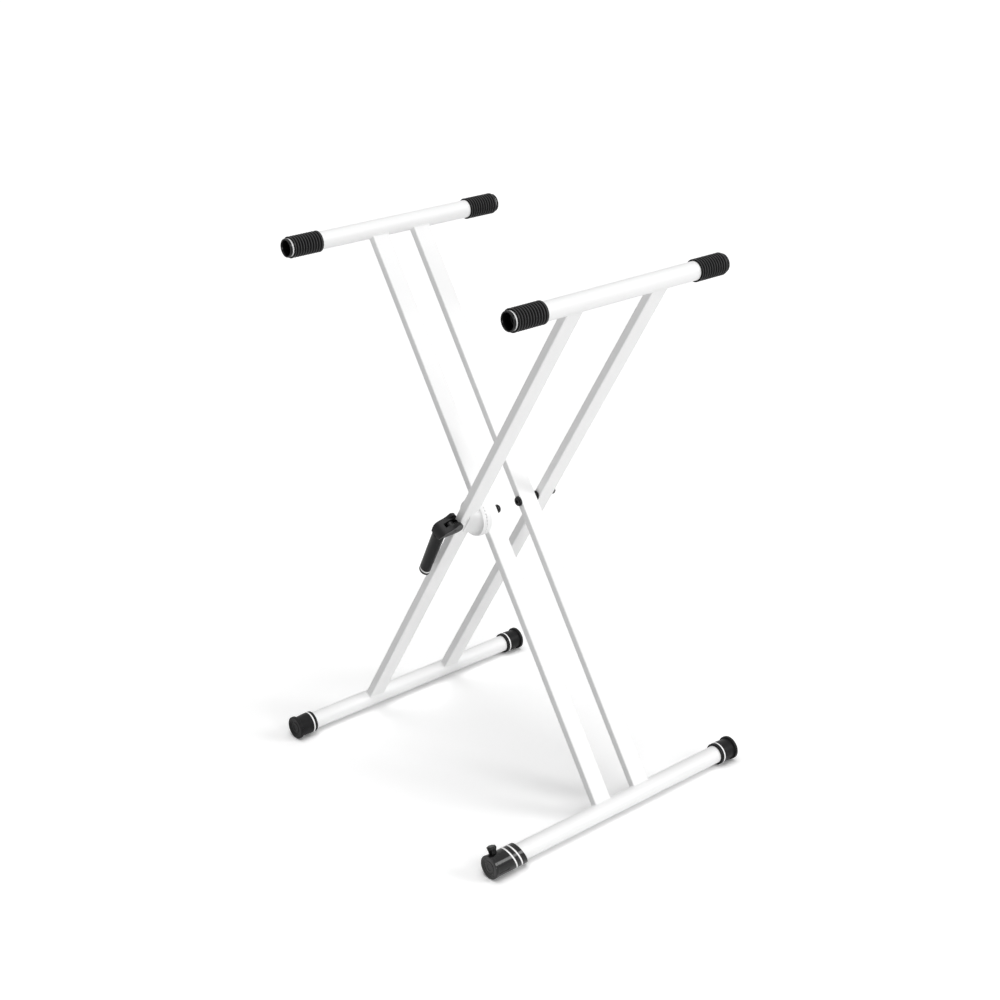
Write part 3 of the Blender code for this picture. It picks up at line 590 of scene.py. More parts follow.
POWDER = Finish("white powder coat", Slot.POWDER, (0.88, 0.88, 0.88), 0.02, 9.0, 0.42, 0.05, 1400.0, 5e-5)
RUBBER = Finish("black rubber", Slot.RUBBER, (0.006, 0.006, 0.0065), 0.25, 60.0, 0.42, 0.06, 2600.0, 6e-5,
                0.14)
SLEEVE = Finish("black grip vinyl", Slot.RUBBER, (0.002, 0.002, 0.0022), 0.2, 60.0, 0.28, 0.05, 2600.0, 2e-5,
                0.09)
MOULDED = Finish("moulded black plastic", Slot.PLASTIC, (0.004, 0.004, 0.0043), 0.15, 40.0, 0.24, 0.05,
                 1500.0, 2e-5, 0.2)
GLOSSY = Finish("glossy black plastic", Slot.PLASTIC, (0.004, 0.004, 0.0043), 0.15, 40.0, 0.16, 0.03,
                900.0, 1e-5, 0.36)
GRAINED = Finish("grained black plastic", Slot.PLASTIC, (0.011, 0.011, 0.0115), 0.2, 40.0, 0.38, 0.05,
                 3200.0, 8e-5, 0.18)
RING = Finish("white ring plastic", Slot.RING, (0.93, 0.93, 0.93), 0.03, 40.0, 0.35, 0.04, 1800.0, 3e-5)
BLACK_STEEL = Finish("blackened steel", Slot.BLACK_STEEL, (0.008, 0.008, 0.0085), 0.2, 90.0, 0.28, 0.06,
                     1500.0, 2e-5, 0.2)
STEEL = Finish("bright steel", Slot.STEEL, (0.62, 0.62, 0.63), 0.08, 120.0, 0.26, 0.05, 1500.0, 2e-5,
               metallic=1.0)


def dress_frame(frame: dict) -> None:
    """Give the frame's nodes their slots' finishes, for those that stay in sight.

    Args:
        frame: What the frame's loading returned.
    """
    finishes = {finish.slot.value: finish for finish in (POWDER, RUBBER, GRAINED, RING, BLACK_STEEL, STEEL)}
    for row in frame["record"]["subparts"]:
        item = frame["nodes"][row["node"]]
        item.data.materials.clear()
        item.data.materials.append(finishes[row["material_slot"]].material())


def seat(item: Item, finish: Finish, body: str, stands_for: str, angle: float = 38.0) -> None:
    """Name, shade and dress a finished piece, and hang it on its body in place of its CAD node.

    Args:
        item: The piece.
        finish: Its finish.
        body: The body that carries it.
        stands_for: The CAD node that it replaces.
        angle: The angle in degrees from which an edge is shaded sharp.
    """
    item.name = stands_for + "_piece"
    item.data.name = item.name
    smooth(item, angle)
    item.data.materials.clear()
    item.data.materials.append(finish.material())
    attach(item, body)
    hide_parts(stands_for)
    LOG.info("%s rides on %s", item.name, body)


# Sub-assemblies


@dataclass
class Frame:
    """One of the two crossed frames: two legs, a top rail and a foot rail, welded together."""

    side: Side
    leg_y: dict[End, float]
    upper: float = 540.0
    lower: float = 553.0
    leg_width: float = 35.0
    leg_depth: float = 15.0
    leg_corner: float = 2.2
    leg_wall: float = 1.5
    rail_radius: float = 16.0
    rail_wall: float = 1.5
    rail_lip: float = 0.3
    top_half: float = 227.5
    foot_half: float = 270.0
    sleeve_hole: float = 6.9
    bead: float = 0.9
    bead_sink: float = 0.25
    bead_pitch: float = 1.6
    bead_ripple: float = 0.13
    bead_beat: float = 2.2

    def rail_axis(self, height: float) -> Matrix:
        """Return the place of a rail's middle, in the frame's own directions."""
        return self.side.matrix() @ move(0.0, 0.0, height)

    def rail(self, word: str, height: float, half: float) -> None:
        """Turn a rail with eased ends.

        Args:
            word: Top or foot.
            height: Its axis along the leg, from the pivot.
            half: Half of its length.
        """
        section = edged(self.rail_radius - self.rail_wall, self.rail_radius, -half, half, self.rail_lip)
        item = put(turned(section, closed=True), self.rail_axis(height) @ heading(End.FAR))
        seat(item, POWDER, self.side.body, f"{self.side.word}_{word}_tube")

    def weld(self) -> Item:
        """Lay the bead round a leg's end, with the rail's axis at the origin and the leg below.

        Returns:
            The bead, as a mesh.
        """
        corners = []
        x, y, r = self.leg_depth / 2, self.leg_width / 2, self.leg_corner
        for centre, first in (((x - r, y - r), 0.0), ((r - x, y - r), 90.0), ((r - x, r - y), 180.0),
                              ((x - r, r - y), 270.0)):
            corners += arc(centre, r, first, first + 90.0, 3)
        path = []
        for here, there in zip(corners, corners[1:] + corners[:1]):
            count = max(1, round(math.dist(here, there) / self.bead_pitch))
            path += [Vector(here).lerp(Vector(there), step / count) for step in range(count)]
        reach = self.rail_radius + self.bead * self.bead_sink
        points = [Vector((p.x, p.y, -math.sqrt(reach * reach - p.x * p.x))) * MM for p in path]
        drawn(points, True)
        return wired(self.bead, 3, lambda number: 1.0 + self.bead_ripple * math.sin(self.bead_beat * number))

    def leg(self, end: End, weld: Item) -> None:
        """Make a rectangular leg, coped over both rails, with its sleeve hole and its two welds.

        Args:
            end: Near or far.
            weld: The bead that is copied to both ends.
        """
        y, wide, deep = self.leg_y[end], self.leg_width / 2, self.leg_depth / 2
        item = bar((-deep, y - wide, -self.lower), (deep, y + wide, self.upper))
        only(item)
        bpy.ops.object.mode_set(mode="EDIT")
        choose(item, "EDGE", lambda e: abs(e.verts[0].co.z - e.verts[1].co.z) > 0.1)
        bpy.ops.mesh.bevel(offset=self.leg_corner * MM, segments=6, affect="EDGES")
        choose(item, "FACE", lambda f: abs(f.normal.z) > 0.9)
        bpy.ops.mesh.delete(type="FACE")
        bpy.ops.object.mode_set(mode="OBJECT")
        fitted(item, "SOLIDIFY", thickness=self.leg_wall * MM, offset=-1.0, use_even_offset=True,
               use_rim=True)
        cope = self.rail_radius + SNUG
        for radius, height in ((cope, self.upper), (cope, -self.lower), (self.sleeve_hole, 0.0)):
            tool = put(rod(radius, -REACH, REACH), move(0.0, y, height) @ heading(End.FAR))
            merged(item, "DIFFERENCE", tool)
        beads = [put(copied(weld), move(0.0, y, self.upper)),
                 put(copied(weld), move(0.0, y, -self.lower) @ turn(180.0, "Y"))]
        only(item)
        for bead in beads:
            bead.select_set(True)
        bpy.ops.object.join()
        put(item, self.side.matrix())
        seat(item, POWDER, self.side.body, f"{self.side.word}_leg_{end.word}")

    def build(self) -> None:
        """Make both rails, then both legs."""
        self.rail("top", self.upper, self.top_half)
        self.rail("foot", -self.lower, self.foot_half)
        weld = self.weld()
        for end in End:
            self.leg(end, weld)
        drop(weld)


@dataclass
class RailEnds:
    """The ribbed grip and the open plug, modelled once and copied to the four ends of the top rails."""

    frames: tuple[Frame, Frame]
    length: float = 60.0
    bare: float = 2.8
    ribs: int = 11
    crest: float = 19.0
    groove: float = 16.6
    collar: float = 2.6
    edge: float = 0.5
    per_rib: int = 10
    rib_shape: float = 0.8
    # Colour of the painted highlight on the crests of the grip's ribs.
    rubbed: Triple = (0.06, 0.06, 0.061)
    flange: float = 3.8
    flange_radius: float = 16.5
    flange_edge: float = 0.7
    mouth: float = 14.1
    hollow: float = 12.6
    hollow_depth: float = 14.0
    plug_depth: float = 16.0
    plug_radius: float = 14.45

    def pitch(self) -> float:
        """Return the distance between two ribs."""
        return (self.length - 2 * self.collar) / (self.ribs - 1)

    def worn_sleeve(self) -> Finish:
        """Return the sleeve's finish, with a painted highlight along the crests of the ribs, which leaves
        the grooves darker.
        """
        first = self.frames[0].top_half - self.bare - self.length + self.collar
        return replace(SLEEVE, worn=self.rubbed, worn_pitch=self.pitch(), worn_from=first)

    def grip(self) -> Item:
        """Turn the ribbed sleeve, with its inner end at the origin."""
        bore = self.frames[0].rail_radius + SNUG
        pitch = self.pitch()
        outside = arc((self.crest - self.edge, self.edge), self.edge, -90.0, 0.0, 3)
        for step in range((self.ribs - 1) * self.per_rib + 1):
            swell = 0.5 + 0.5 * math.cos(2 * math.pi * step / self.per_rib)
            radius = self.groove + (self.crest - self.groove) * swell ** self.rib_shape
            outside.append((radius, self.collar + pitch * step / self.per_rib))
        outside += arc((self.crest - self.edge, self.length - self.edge), self.edge, 0.0, 90.0, 3)
        return turned([(bore, 0.0), *outside, (bore, self.length)], closed=True)

    def plug(self) -> Item:
        """Turn the open plug, with the end of the rail at the origin."""
        wide, edge, high = self.flange_radius, self.flange_edge, self.flange
        hollow, deep = self.hollow, -self.hollow_depth
        return turned([(0.0, -self.plug_depth), (self.plug_radius, -self.plug_depth),
                       (self.plug_radius, SNUG), (wide, SNUG),
                       *arc((wide - edge, high - edge), edge, 0.0, 90.0, 4),
                       *arc((self.mouth + edge / 2, high - edge / 2), edge / 2, 90.0, 180.0, 3),
                       (self.mouth - 0.2, high * 0.6), (hollow, 0.0), (hollow, deep + 0.6),
                       (hollow - 0.6, deep), (0.0, deep)])

    def build(self) -> None:
        """Copy both to every end of the top rails."""
        grip, plug = self.grip(), self.plug()
        for frame in self.frames:
            for end in End:
                out = frame.rail_axis(frame.upper) @ heading(end)
                for start, word, at, finish in (
                        (grip, "grip", frame.top_half - self.bare - self.length, self.worn_sleeve()),
                        (plug, "end_plug", frame.top_half, MOULDED)):
                    item = put(copied(start), out @ move(0.0, 0.0, at))
                    seat(item, finish, frame.side.body, f"{frame.side.word}_{word}_{end.word}")
        drop(grip, plug)


@dataclass
class FootCap:
    """A rubber foot cap and its white ring, measured along the foot rail from its middle."""

    rim: float = 21.5
    rim_edge: float = 1.2
    rim_length: float = 5.8
    waist: float = 18.4
    band: float = 19.8
    body_edge: float = 0.5
    outer_end: float = 275.5
    inner_end: float = 236.0
    floor: float = 270.05
    bore: float = 16.05
    rings: tuple[float, ...] = (243.0,)
    ring_width: float = 3.0
    ring_seat: float = 18.6
    ring_proud: float = 0.3
    ring_lip: float = 0.4
    dish: float = 16.0
    dish_depth: float = 1.2
    steps: Outline = ((5.2, -0.8), (6.2, 0.0), (9.6, 0.0), (10.6, -0.8), (12.2, -0.8), (13.2, 0.0))

    def side(self) -> Points:
        """Return the outside from behind the rim to the first ring groove."""
        behind = self.outer_end - self.rim_length
        seat_end = max(self.rings) + self.ring_width / 2
        return [(self.waist + 0.5, behind - 0.25), (self.waist, behind - 1.2),
                (self.waist + (self.band - self.waist) * 0.35, behind - 9.0),
                (self.waist + (self.band - self.waist) * 0.8, behind - 17.0), (self.band, seat_end + 1.0)]

    def face(self) -> Points:
        """Return the stepped face and the rim round it, from the middle outwards."""
        end, edge, low = self.outer_end, self.rim_edge, self.outer_end - self.dish_depth
        face = [(0.0, low + self.steps[0][1]), *[(radius, low + step) for radius, step in self.steps],
                (self.dish - 1.6, low), (self.dish - 0.5, low + 0.25), (self.dish, end - 0.3),
                (self.dish + 0.4, end)]
        return [*face, *arc((self.rim - edge, end - edge), edge, 90.0, 0.0, 5),
                *arc((self.rim - 0.5, end - self.rim_length + 0.5), 0.5, 0.0, -90.0, 3)]

    def section(self) -> Points:
        """Return the half section, from the middle of the face round to the middle of the bore."""
        points = self.face() + self.side()
        half = self.ring_width / 2
        for ring in sorted(self.rings, reverse=True):
            points += [(self.band, ring + half), (self.ring_seat, ring + half),
                       (self.ring_seat, ring - half), (self.band, ring - half)]
        edge = self.body_edge
        points += arc((self.band - edge, self.inner_end + edge), edge, 0.0, -90.0, 4)
        return [*points, (self.bore, self.inner_end), (self.bore, self.floor), (0.0, self.floor)]

    def cap(self) -> Item:
        """Turn the cap."""
        return turned(self.section())

    def ring(self) -> Item:
        """Turn the ring, with its middle at the origin."""
        half = self.ring_width / 2 - SNUG
        section = edged(self.ring_seat + SNUG, self.band + self.ring_proud, -half, half, self.ring_lip)
        return turned(section, closed=True)

    def build(self, ends: Sequence[tuple[Frame, End]]) -> None:
        """Copy the cap and its ring to the foot rails' ends.

        Args:
            ends: The frame and the end of each cap.
        """
        cap, ring = self.cap(), self.ring()
        for frame, end in ends:
            out = frame.rail_axis(-frame.lower) @ heading(end)
            for start, word, at, finish in ((cap, "foot_cap", 0.0, RUBBER),
                                            (ring, "cap_ring", self.rings[0], RING)):
                item = put(copied(start), out @ move(0.0, 0.0, at))
                seat(item, finish, frame.side.body, f"{frame.side.word}_{word}_{end.word}")
        drop(cap, ring)


@dataclass
class LevellingFoot(FootCap):
    """The glossy foot with two slanting rings, whose thumb knob pushes out a pad."""

    frame: Frame | None = None
    rim: float = 21.0
    band: float = 20.3
    outer_end: float = 300.0
    inner_end: float = 222.0
    rings: tuple[float, ...] = (245.8, 257.2)
    ring_seat: float = 19.1
    cut: float = 234.2
    slant: float = 21.0
    screw_y: float = 286.0
    tilt: float = 17.0
    knob_radius: float = 8.4
    knob_lobes: int = 8
    knob_lobe_depth: float = 1.0
    lobe_steps: int = 12
    knob_foot: float = 0.97
    knob_rim: float = 1.2
    knob_dish: float = 0.5
    knob_seat: float = 19.0
    knob_steps: Outline = ((0.4, 0.78), (1.0, 0.80), (4.0, 0.82), (6.5, 0.87), (8.4, 0.95), (9.4, 1.0),
                           (12.0, 1.0), (12.7, 0.96), (13.1, 0.88))
    well: float = 7.4
    pad_radius: float = 8.0
    pad_bore: float = 4.35
    pad_floor: float = 3.5
    pad_top: float = -4.0
    pad_end: float = -19.0
    slot: Triple = (22.0, 4.5, 1.2)
    slot_at: float = 283.0
    slot_turn: float = 101.0

    def section(self) -> Points:
        """Return the half section of the body before its grooves and its slanting end are cut."""
        behind = self.outer_end - self.rim_length
        return [*self.face(), (self.band + 0.25, behind - 0.1), (self.band, behind - 0.6),
                (self.band, self.inner_end), (self.bore, self.inner_end), (self.bore, self.floor),
                (0.0, self.floor)]

    def axis(self) -> Matrix:
        """Return the place of the foot rail's middle."""
        return self.frame.rail_axis(-self.frame.lower)

    def screw(self) -> Matrix:
        """Return the place of the screw, whose Z points up out of the rail's axis."""
        return self.axis() @ move(0.0, -self.screw_y, 0.0) @ turn(math.degrees(LEAN) - self.tilt, "Y")

    def slanted(self, along: float) -> Matrix:
        """Return the place of a slanting cut, which meets the round body in a longer oval.

        Args:
            along: Where the cut crosses the rail's axis.
        """
        upright = self.axis() @ turn(math.degrees(LEAN), "Y")
        longer = Matrix.Diagonal((1.0, 1.0 / math.cos(math.radians(self.slant)), 1.0, 1.0))
        return upright @ move(0.0, -along, 0.0) @ heading(End.NEAR) @ turn(self.slant, "X") @ longer

    def body(self) -> None:
        """Turn the body, then cut its slanting end, the ring grooves, the well and the slot in its side."""
        item = put(self.cap(), self.axis() @ heading(End.NEAR))
        away = put(rod(60.0, -60.0, 0.0, 48), self.slanted(self.cut))
        half = self.ring_width / 2
        groove = edged(self.ring_seat, self.rim + 5.0, -half, half, 0.0)
        grooves = [put(turned(groove, closed=True), self.slanted(along)) for along in self.rings]
        screw = self.screw()
        well = put(rod(self.well, self.knob_seat, 40.0), screw)
        housing = put(rod(self.pad_radius + 0.15, -40.0, self.pad_top + 0.5), screw)
        length, height, depth = self.slot
        around = self.axis() @ turn(math.degrees(LEAN) + self.slot_turn, "Y")
        notch = bar((-height / 2, -self.slot_at - length / 2, self.band - depth),
                    (height / 2, -self.slot_at + length / 2, self.band + depth))
        eased(notch, 0.9, 4)
        merged(item, "DIFFERENCE", away, *grooves, well, housing, put(notch, around))
        seat(item, GLOSSY, self.frame.side.body, "levelling_foot_body", 30.0)

    def knob(self, screw: Matrix) -> None:
        """Draw the lobed outline and raise it in steps to the knob's flaring shape.

        Args:
            screw: The screw's place.
        """
        count = self.knob_lobes * self.lobe_steps
        base = self.knob_seat + SNUG
        foot = self.knob_steps[0][1] * self.knob_foot
        points = []
        for step in range(count):
            angle = 2 * math.pi * step / count
            dent = self.knob_lobe_depth * (0.5 - 0.5 * math.cos(self.knob_lobes * angle))
            radius = (self.knob_radius - dent) * foot
            points.append(Vector((radius * math.cos(angle), radius * math.sin(angle), base)) * MM)
        item = raised(points, [(0.0, foot, foot), *[(top, share, share) for top, share in self.knob_steps]])
        bpy.ops.mesh.inset(thickness=self.knob_rim * MM, depth=-self.knob_dish * MM)
        tidy_mesh()
        put(item, screw)
        seat(item, MOULDED, "levelling_screw", "levelling_knob")

    def pad(self, screw: Matrix) -> None:
        """Turn the pad that the screw pushes out.

        Args:
            screw: The screw's place.
        """
        floor = self.pad_end + self.pad_floor
        section = [(0.0, floor), (self.pad_bore, floor), (self.pad_bore, self.pad_top),
                   (self.pad_radius, self.pad_top), (self.pad_radius, self.pad_end + 1.0),
                   (self.pad_radius - 1.0, self.pad_end), (0.0, self.pad_end)]
        seat(put(turned(section), screw), RUBBER, "levelling_pad", "levelling_pad")

    def build_foot(self) -> None:
        """Make the body, its rings, the knob and the pad."""
        self.body()
        ring = self.ring()
        for number, along in enumerate(self.rings, start=1):
            item = put(copied(ring), self.slanted(along))
            seat(item, RING, self.frame.side.body, f"levelling_foot_ring_{number}")
        drop(ring)
        self.knob(self.screw())
        self.pad(self.screw())


@dataclass
class Clutch:
    """The toothed hub whose two cheeks straddle the near outer leg, and the disc on the inner leg.

    The faces stand tip to tip across a hair's gap, so that a dark notch shows at every tooth.
    """

    teeth: int = 36
    notch_levels: tuple[float, ...] = (0.0, 0.0, 0.0, 0.0, 0.55, 1.0)
    tooth_depth: float = 1.2
    tooth_inner: float = 25.0
    radius: float = 34.4
    bore: float = 4.5
    well: float = 12.5
    recess: float = 2.0
    hub_well: float = 3.5
    disc_well: float = 7.0
    hub_face: float = -68.35
    disc_face: float = -68.05
    disc_back: float = -57.3
    flange_back: float = -75.0
    flange_radius: float = 32.8
    flange_edge: float = 0.5
    cheek_power: float = 2.9
    cheek_steps: int = 64
    cheeks: tuple[Triple, ...] = (
        (-92.6, 9.2, 24.9), (-92.35, 9.9, 25.8), (-91.7, 10.4, 26.4), (-90.4, 11.0, 26.8),
        (-88.0, 12.4, 27.3), (-84.0, 15.2, 28.0), (-80.0, 18.2, 28.7), (-78.0, 20.2, 29.0),
        (-76.8, 21.9, 29.4), (-76.0, 23.3, 29.8), (-75.4, 25.0, 30.2), (-75.05, 27.0, 30.6),
        (-73.0, 27.0, 30.6))
    slot_half: float = 7.6
    slot_from: float = -74.2
    spring_radius: float = 9.5
    spring_wire: float = 0.8
    spring_gap: float = 0.3
    spring_turns: float = 3.5
    spring_steps: int = 24

    def toothed(self, face: float, way: float, outside: Outline, well: float) -> Item:
        """Turn a blank about Z and sink the notches between its teeth.

        Args:
            face: Where the tooth tips lie.
            way: 1 where the blank lies above its face, -1 where it lies below.
            outside: The outline from the rim of the face to the back.
            well: Depth of the spring's well.

        Returns:
            The blank with its teeth.
        """
        section = [(self.bore, face + way * well), (self.well, face + way * well),
                   (self.well, face + way * self.recess), (self.tooth_inner, face + way * self.recess),
                   (self.tooth_inner, face), (self.radius, face), *outside, (self.bore, outside[-1][1])]
        per_tooth = 2 * (len(self.notch_levels) - 1)
        item = turned(section, closed=True, steps=self.teeth * per_tooth)
        only(item)
        bpy.ops.object.mode_set(mode="EDIT")
        for away, level in enumerate(self.notch_levels):
            choose(item, "VERT", lambda v: self.from_tip(v.co, face, per_tooth) == away)
            bpy.ops.transform.translate(value=(0.0, 0.0, way * self.tooth_depth * level * MM))
        bpy.ops.object.mode_set(mode="OBJECT")
        return item

    def from_tip(self, spot: Vector, face: float, per_tooth: int) -> int | None:
        """Return how many steps a vertex of the toothed band is from its tooth's middle.

        Args:
            spot: The vertex.
            face: Where the tooth tips lie.
            per_tooth: Steps of one tooth.

        Returns:
            The steps, or None off the band.
        """
        if abs(spot.z - face * MM) > 1e-6 or math.hypot(spot.x, spot.y) < (self.tooth_inner - 0.01) * MM:
            return None
        place = round(math.atan2(spot.y, spot.x) / (2 * math.pi) * self.teeth * per_tooth) % per_tooth
        return min(place, per_tooth - place)

    def cheek_body(self) -> Item:
        """Raise the casting round the leg from its near end, growing towards the flange.

        Returns:
            The casting in its place, about the outer frame's pivot axis.
        """
        low, wide, tall = self.cheeks[0]
        points = []
        for step in range(self.cheek_steps):
            angle = 2 * math.pi * step / self.cheek_steps
            across, along = (math.copysign(abs(share) ** (2 / self.cheek_power), share)
                             for share in (math.cos(angle), math.sin(angle)))
            points.append(Vector((wide * across, tall * along, low)) * MM)
        item = raised(points, self.cheeks)
        tidy_mesh()
        return put(item, Side.OUTER.axle())

    def hub(self) -> None:
        """Unite the toothed flange with the casting, and cut the slot that the leg passes through."""
        edge, wide, back = self.flange_edge, self.flange_radius, self.flange_back
        outside = [(self.radius, self.hub_face - 1.9), (self.radius - 0.1, self.hub_face - 2.4),
                   (wide, back + edge), (wide - 0.15, back + 0.15), (wide - edge, back)]
        item = self.toothed(self.hub_face, -1.0, outside, self.hub_well)
        put(item, move(0.0, MIDDLE_Y, AXLE_HEIGHT) @ heading(End.FAR))
        slot = bar((-self.slot_half, -130.0, -70.0), (self.slot_half, self.slot_from, 70.0))
        bore = rod(self.bore, -110.0, -60.0, 60)
        merged(item, "UNION", self.cheek_body())
        merged(item, "DIFFERENCE", put(slot, Side.OUTER.matrix()), put(bore, Side.OUTER.axle()))
        seat(item, POWDER, Side.OUTER.body, "outer_clutch_hub", 30.0)

    def disc(self) -> None:
        """Make the disc, its teeth in line with the hub's."""
        outside = [(self.radius, self.disc_back - 0.6), (self.radius - 0.15, self.disc_back - 0.15),
                   (self.radius - 0.6, self.disc_back)]
        item = self.toothed(self.disc_face, 1.0, outside, self.disc_well)
        put(item, move(0.0, MIDDLE_Y, AXLE_HEIGHT) @ heading(End.FAR))
        seat(item, POWDER, Side.INNER.body, "inner_clutch_disc", 30.0)

    def spring(self) -> None:
        """Wind the spring that pushes the two halves apart."""
        low = self.hub_face - self.hub_well + self.spring_wire + self.spring_gap
        high = self.disc_face + self.disc_well - self.spring_wire - self.spring_gap
        count = int(self.spring_turns * self.spring_steps)
        points = []
        for step in range(count + 1):
            angle = 2 * math.pi * self.spring_turns * step / count
            points.append(Vector((self.spring_radius * math.cos(angle), self.spring_radius * math.sin(angle),
                                  low + (high - low) * step / count)) * MM)
        drawn(points, False)
        item = put(wired(self.spring_wire, 2, caps=True), Side.OUTER.axle())
        seat(item, STEEL, Side.OUTER.body, "release_spring")

    def build(self) -> None:
        """Make the hub, the disc and the spring between them."""
        self.hub()
        self.disc()
        self.spring()


@dataclass
class PivotHardware:
    """The rod through the near legs with its nut, and the bolt through the far ones."""

    rod_radius: float = 4.0
    rod_end: float = -12.8
    pin_y: float = -123.0
    eye_radius: float = 7.2
    eye_width: float = 8.0
    pin_radius: float = 3.0
    pin_half: float = 13.5
    pin_edge: float = 0.5
    washer_from: float = -21.95
    washer_radius: float = 8.5
    washer: float = 1.2
    nut_radius: float = 7.8
    nut_length: float = 9.0
    nut_dome: float = 0.62
    nut_wall: float = 1.6
    bolt_seat: float = 33.95
    bolt_head_radius: float = 9.0
    bolt_head: float = 5.0
    bolt_dome: Outline = ((0.62, 0.0), (0.80, 0.1), (0.94, 0.32), (1.0, 0.62))
    bolt_end: float = 116.2
    socket_radius: float = 3.5
    socket_depth: float = 2.5
    far_nut_from: float = 109.55
    far_nut_radius: float = 7.8
    far_nut: float = 5.5
    disc_spring_from: float = 69.3
    disc_spring_to: float = 74.2
    disc_spring_radius: float = 8.8
    crush: float = 0.49

    def pull_rod(self) -> None:
        """Turn the rod and unite it with its eye, then bore the eye for its pin."""
        radius = self.rod_radius
        item = turned([(0.0, self.pin_y), (radius, self.pin_y), (radius, self.rod_end - 0.6),
                       (radius - 0.6, self.rod_end), (0.0, self.rod_end)], steps=48)
        across = move(0.0, 0.0, self.pin_y) @ turn(90.0, "Y")
        eye = put(rod(self.eye_radius, -self.eye_width / 2, self.eye_width / 2), across)
        eased(eye, 0.6)
        merged(item, "UNION", eye)
        merged(item, "DIFFERENCE", put(rod(self.pin_radius + 0.1, -20.0, 20.0, 48), across))
        put(item, Side.OUTER.axle())
        # The rod and its eye take the blackened steel finish instead of their bright steel slot's, so that
        # the eye looks dark inside the lever's slot.
        seat(item, replace(BLACK_STEEL, slot=Slot.STEEL), "pull_rod", "pull_rod")
        pin = turned(edged(0.0, self.pin_radius, -self.pin_half, self.pin_half, self.pin_edge), steps=48)
        put(pin, Side.OUTER.axle() @ across)
        seat(pin, BLACK_STEEL, "pull_rod", "lever_pin")

    def near_nut(self) -> None:
        """Turn the washer and the domed cap nut on the rod's far end."""
        radius, thick, low, bore = self.washer_radius, self.washer, self.washer_from, self.rod_radius + 0.1
        washer = turned([(bore, low), (radius - 0.2, low), (radius, low + 0.2),
                         (radius, low + thick - 0.3), (radius - 0.3, low + thick),
                         (bore, low + thick)], closed=True)
        seat(put(washer, Side.OUTER.axle()), BLACK_STEEL, "pull_rod", "near_washer")
        base, wide = low + thick + SNUG, self.nut_radius
        dome = [(wide * math.sin(math.radians(angle)),
                 base + self.nut_length - wide * self.nut_dome * (1 - math.cos(math.radians(angle))))
                for angle in range(0, 91, 10)]
        floor = base + self.nut_length - self.nut_wall
        nut = turned([*dome, (wide, base + 0.3), (wide - 0.3, base), (bore, base), (bore, floor),
                      (0.0, floor)])
        seat(put(nut, Side.OUTER.axle()), BLACK_STEEL, "pull_rod", "near_cap_nut")

    def far_bolt(self) -> None:
        """Turn the far bolt with its low round head, and sink the hexagon socket."""
        seat_at, radius, head = self.bolt_seat, self.bolt_head_radius, self.bolt_head
        top = seat_at - head
        dome = flowing([(radius * wide, top + head * down) for wide, down in self.bolt_dome], 4)
        item = turned([(0.0, top), *dome, (radius, seat_at - 0.2), (radius - 0.2, seat_at),
                       (self.rod_radius, seat_at), (self.rod_radius, self.bolt_end - 0.6),
                       (self.rod_radius - 0.6, self.bolt_end), (0.0, self.bolt_end)])
        socket = rod(self.socket_radius, top - 2.0, top + self.socket_depth, 6)
        merged(item, "DIFFERENCE", socket)
        put(eased(item, 0.2, 2, 50.0), Side.OUTER.axle())
        seat(item, BLACK_STEEL, Side.OUTER.body, "far_pivot_bolt")

    def far_nut_and_spring(self) -> None:
        """Make the chamfered hexagon nut, and the soft spring washer between the far legs."""
        low, high, radius = self.far_nut_from, self.far_nut_from + self.far_nut, self.far_nut_radius
        nut = rod(radius, low, high, 6)
        chamfer = turned([(0.0, low - 1.0), (radius, low - 1.0), (radius, high - 0.9),
                          (radius - 1.5, high), (0.0, high)])
        merged(nut, "INTERSECT", chamfer)
        merged(nut, "DIFFERENCE", rod(self.rod_radius + 0.1, low - 5.0, high + 5.0, 48))
        put(eased(nut, 0.25, 2, 40.0), Side.OUTER.axle())
        seat(nut, BLACK_STEEL, Side.OUTER.body, "far_pivot_nut", 25.0)
        start, end, wide, bore = self.disc_spring_from, self.disc_spring_to, self.disc_spring_radius, 4.35
        middle = (start + end) / 2
        soft = turned([(bore, start), (wide - 1.2, start), (wide - 0.3, start + 0.5), (wide, start + 1.3),
                       (wide - 0.4, middle - 0.3), (wide - 0.9, middle), (wide - 0.4, middle + 0.3),
                       (wide, end - 1.3), (wide - 0.3, end - 0.5), (wide - 1.2, end), (bore, end)],
                      closed=True)
        put(soft, Side.OUTER.axle())
        seat(soft, RUBBER, Side.OUTER.body, "far_spring_washer")
        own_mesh(soft)

    def build(self) -> None:
        """Make all of it."""
        self.pull_rod()
        self.near_nut()
        self.far_bolt()
        self.far_nut_and_spring()


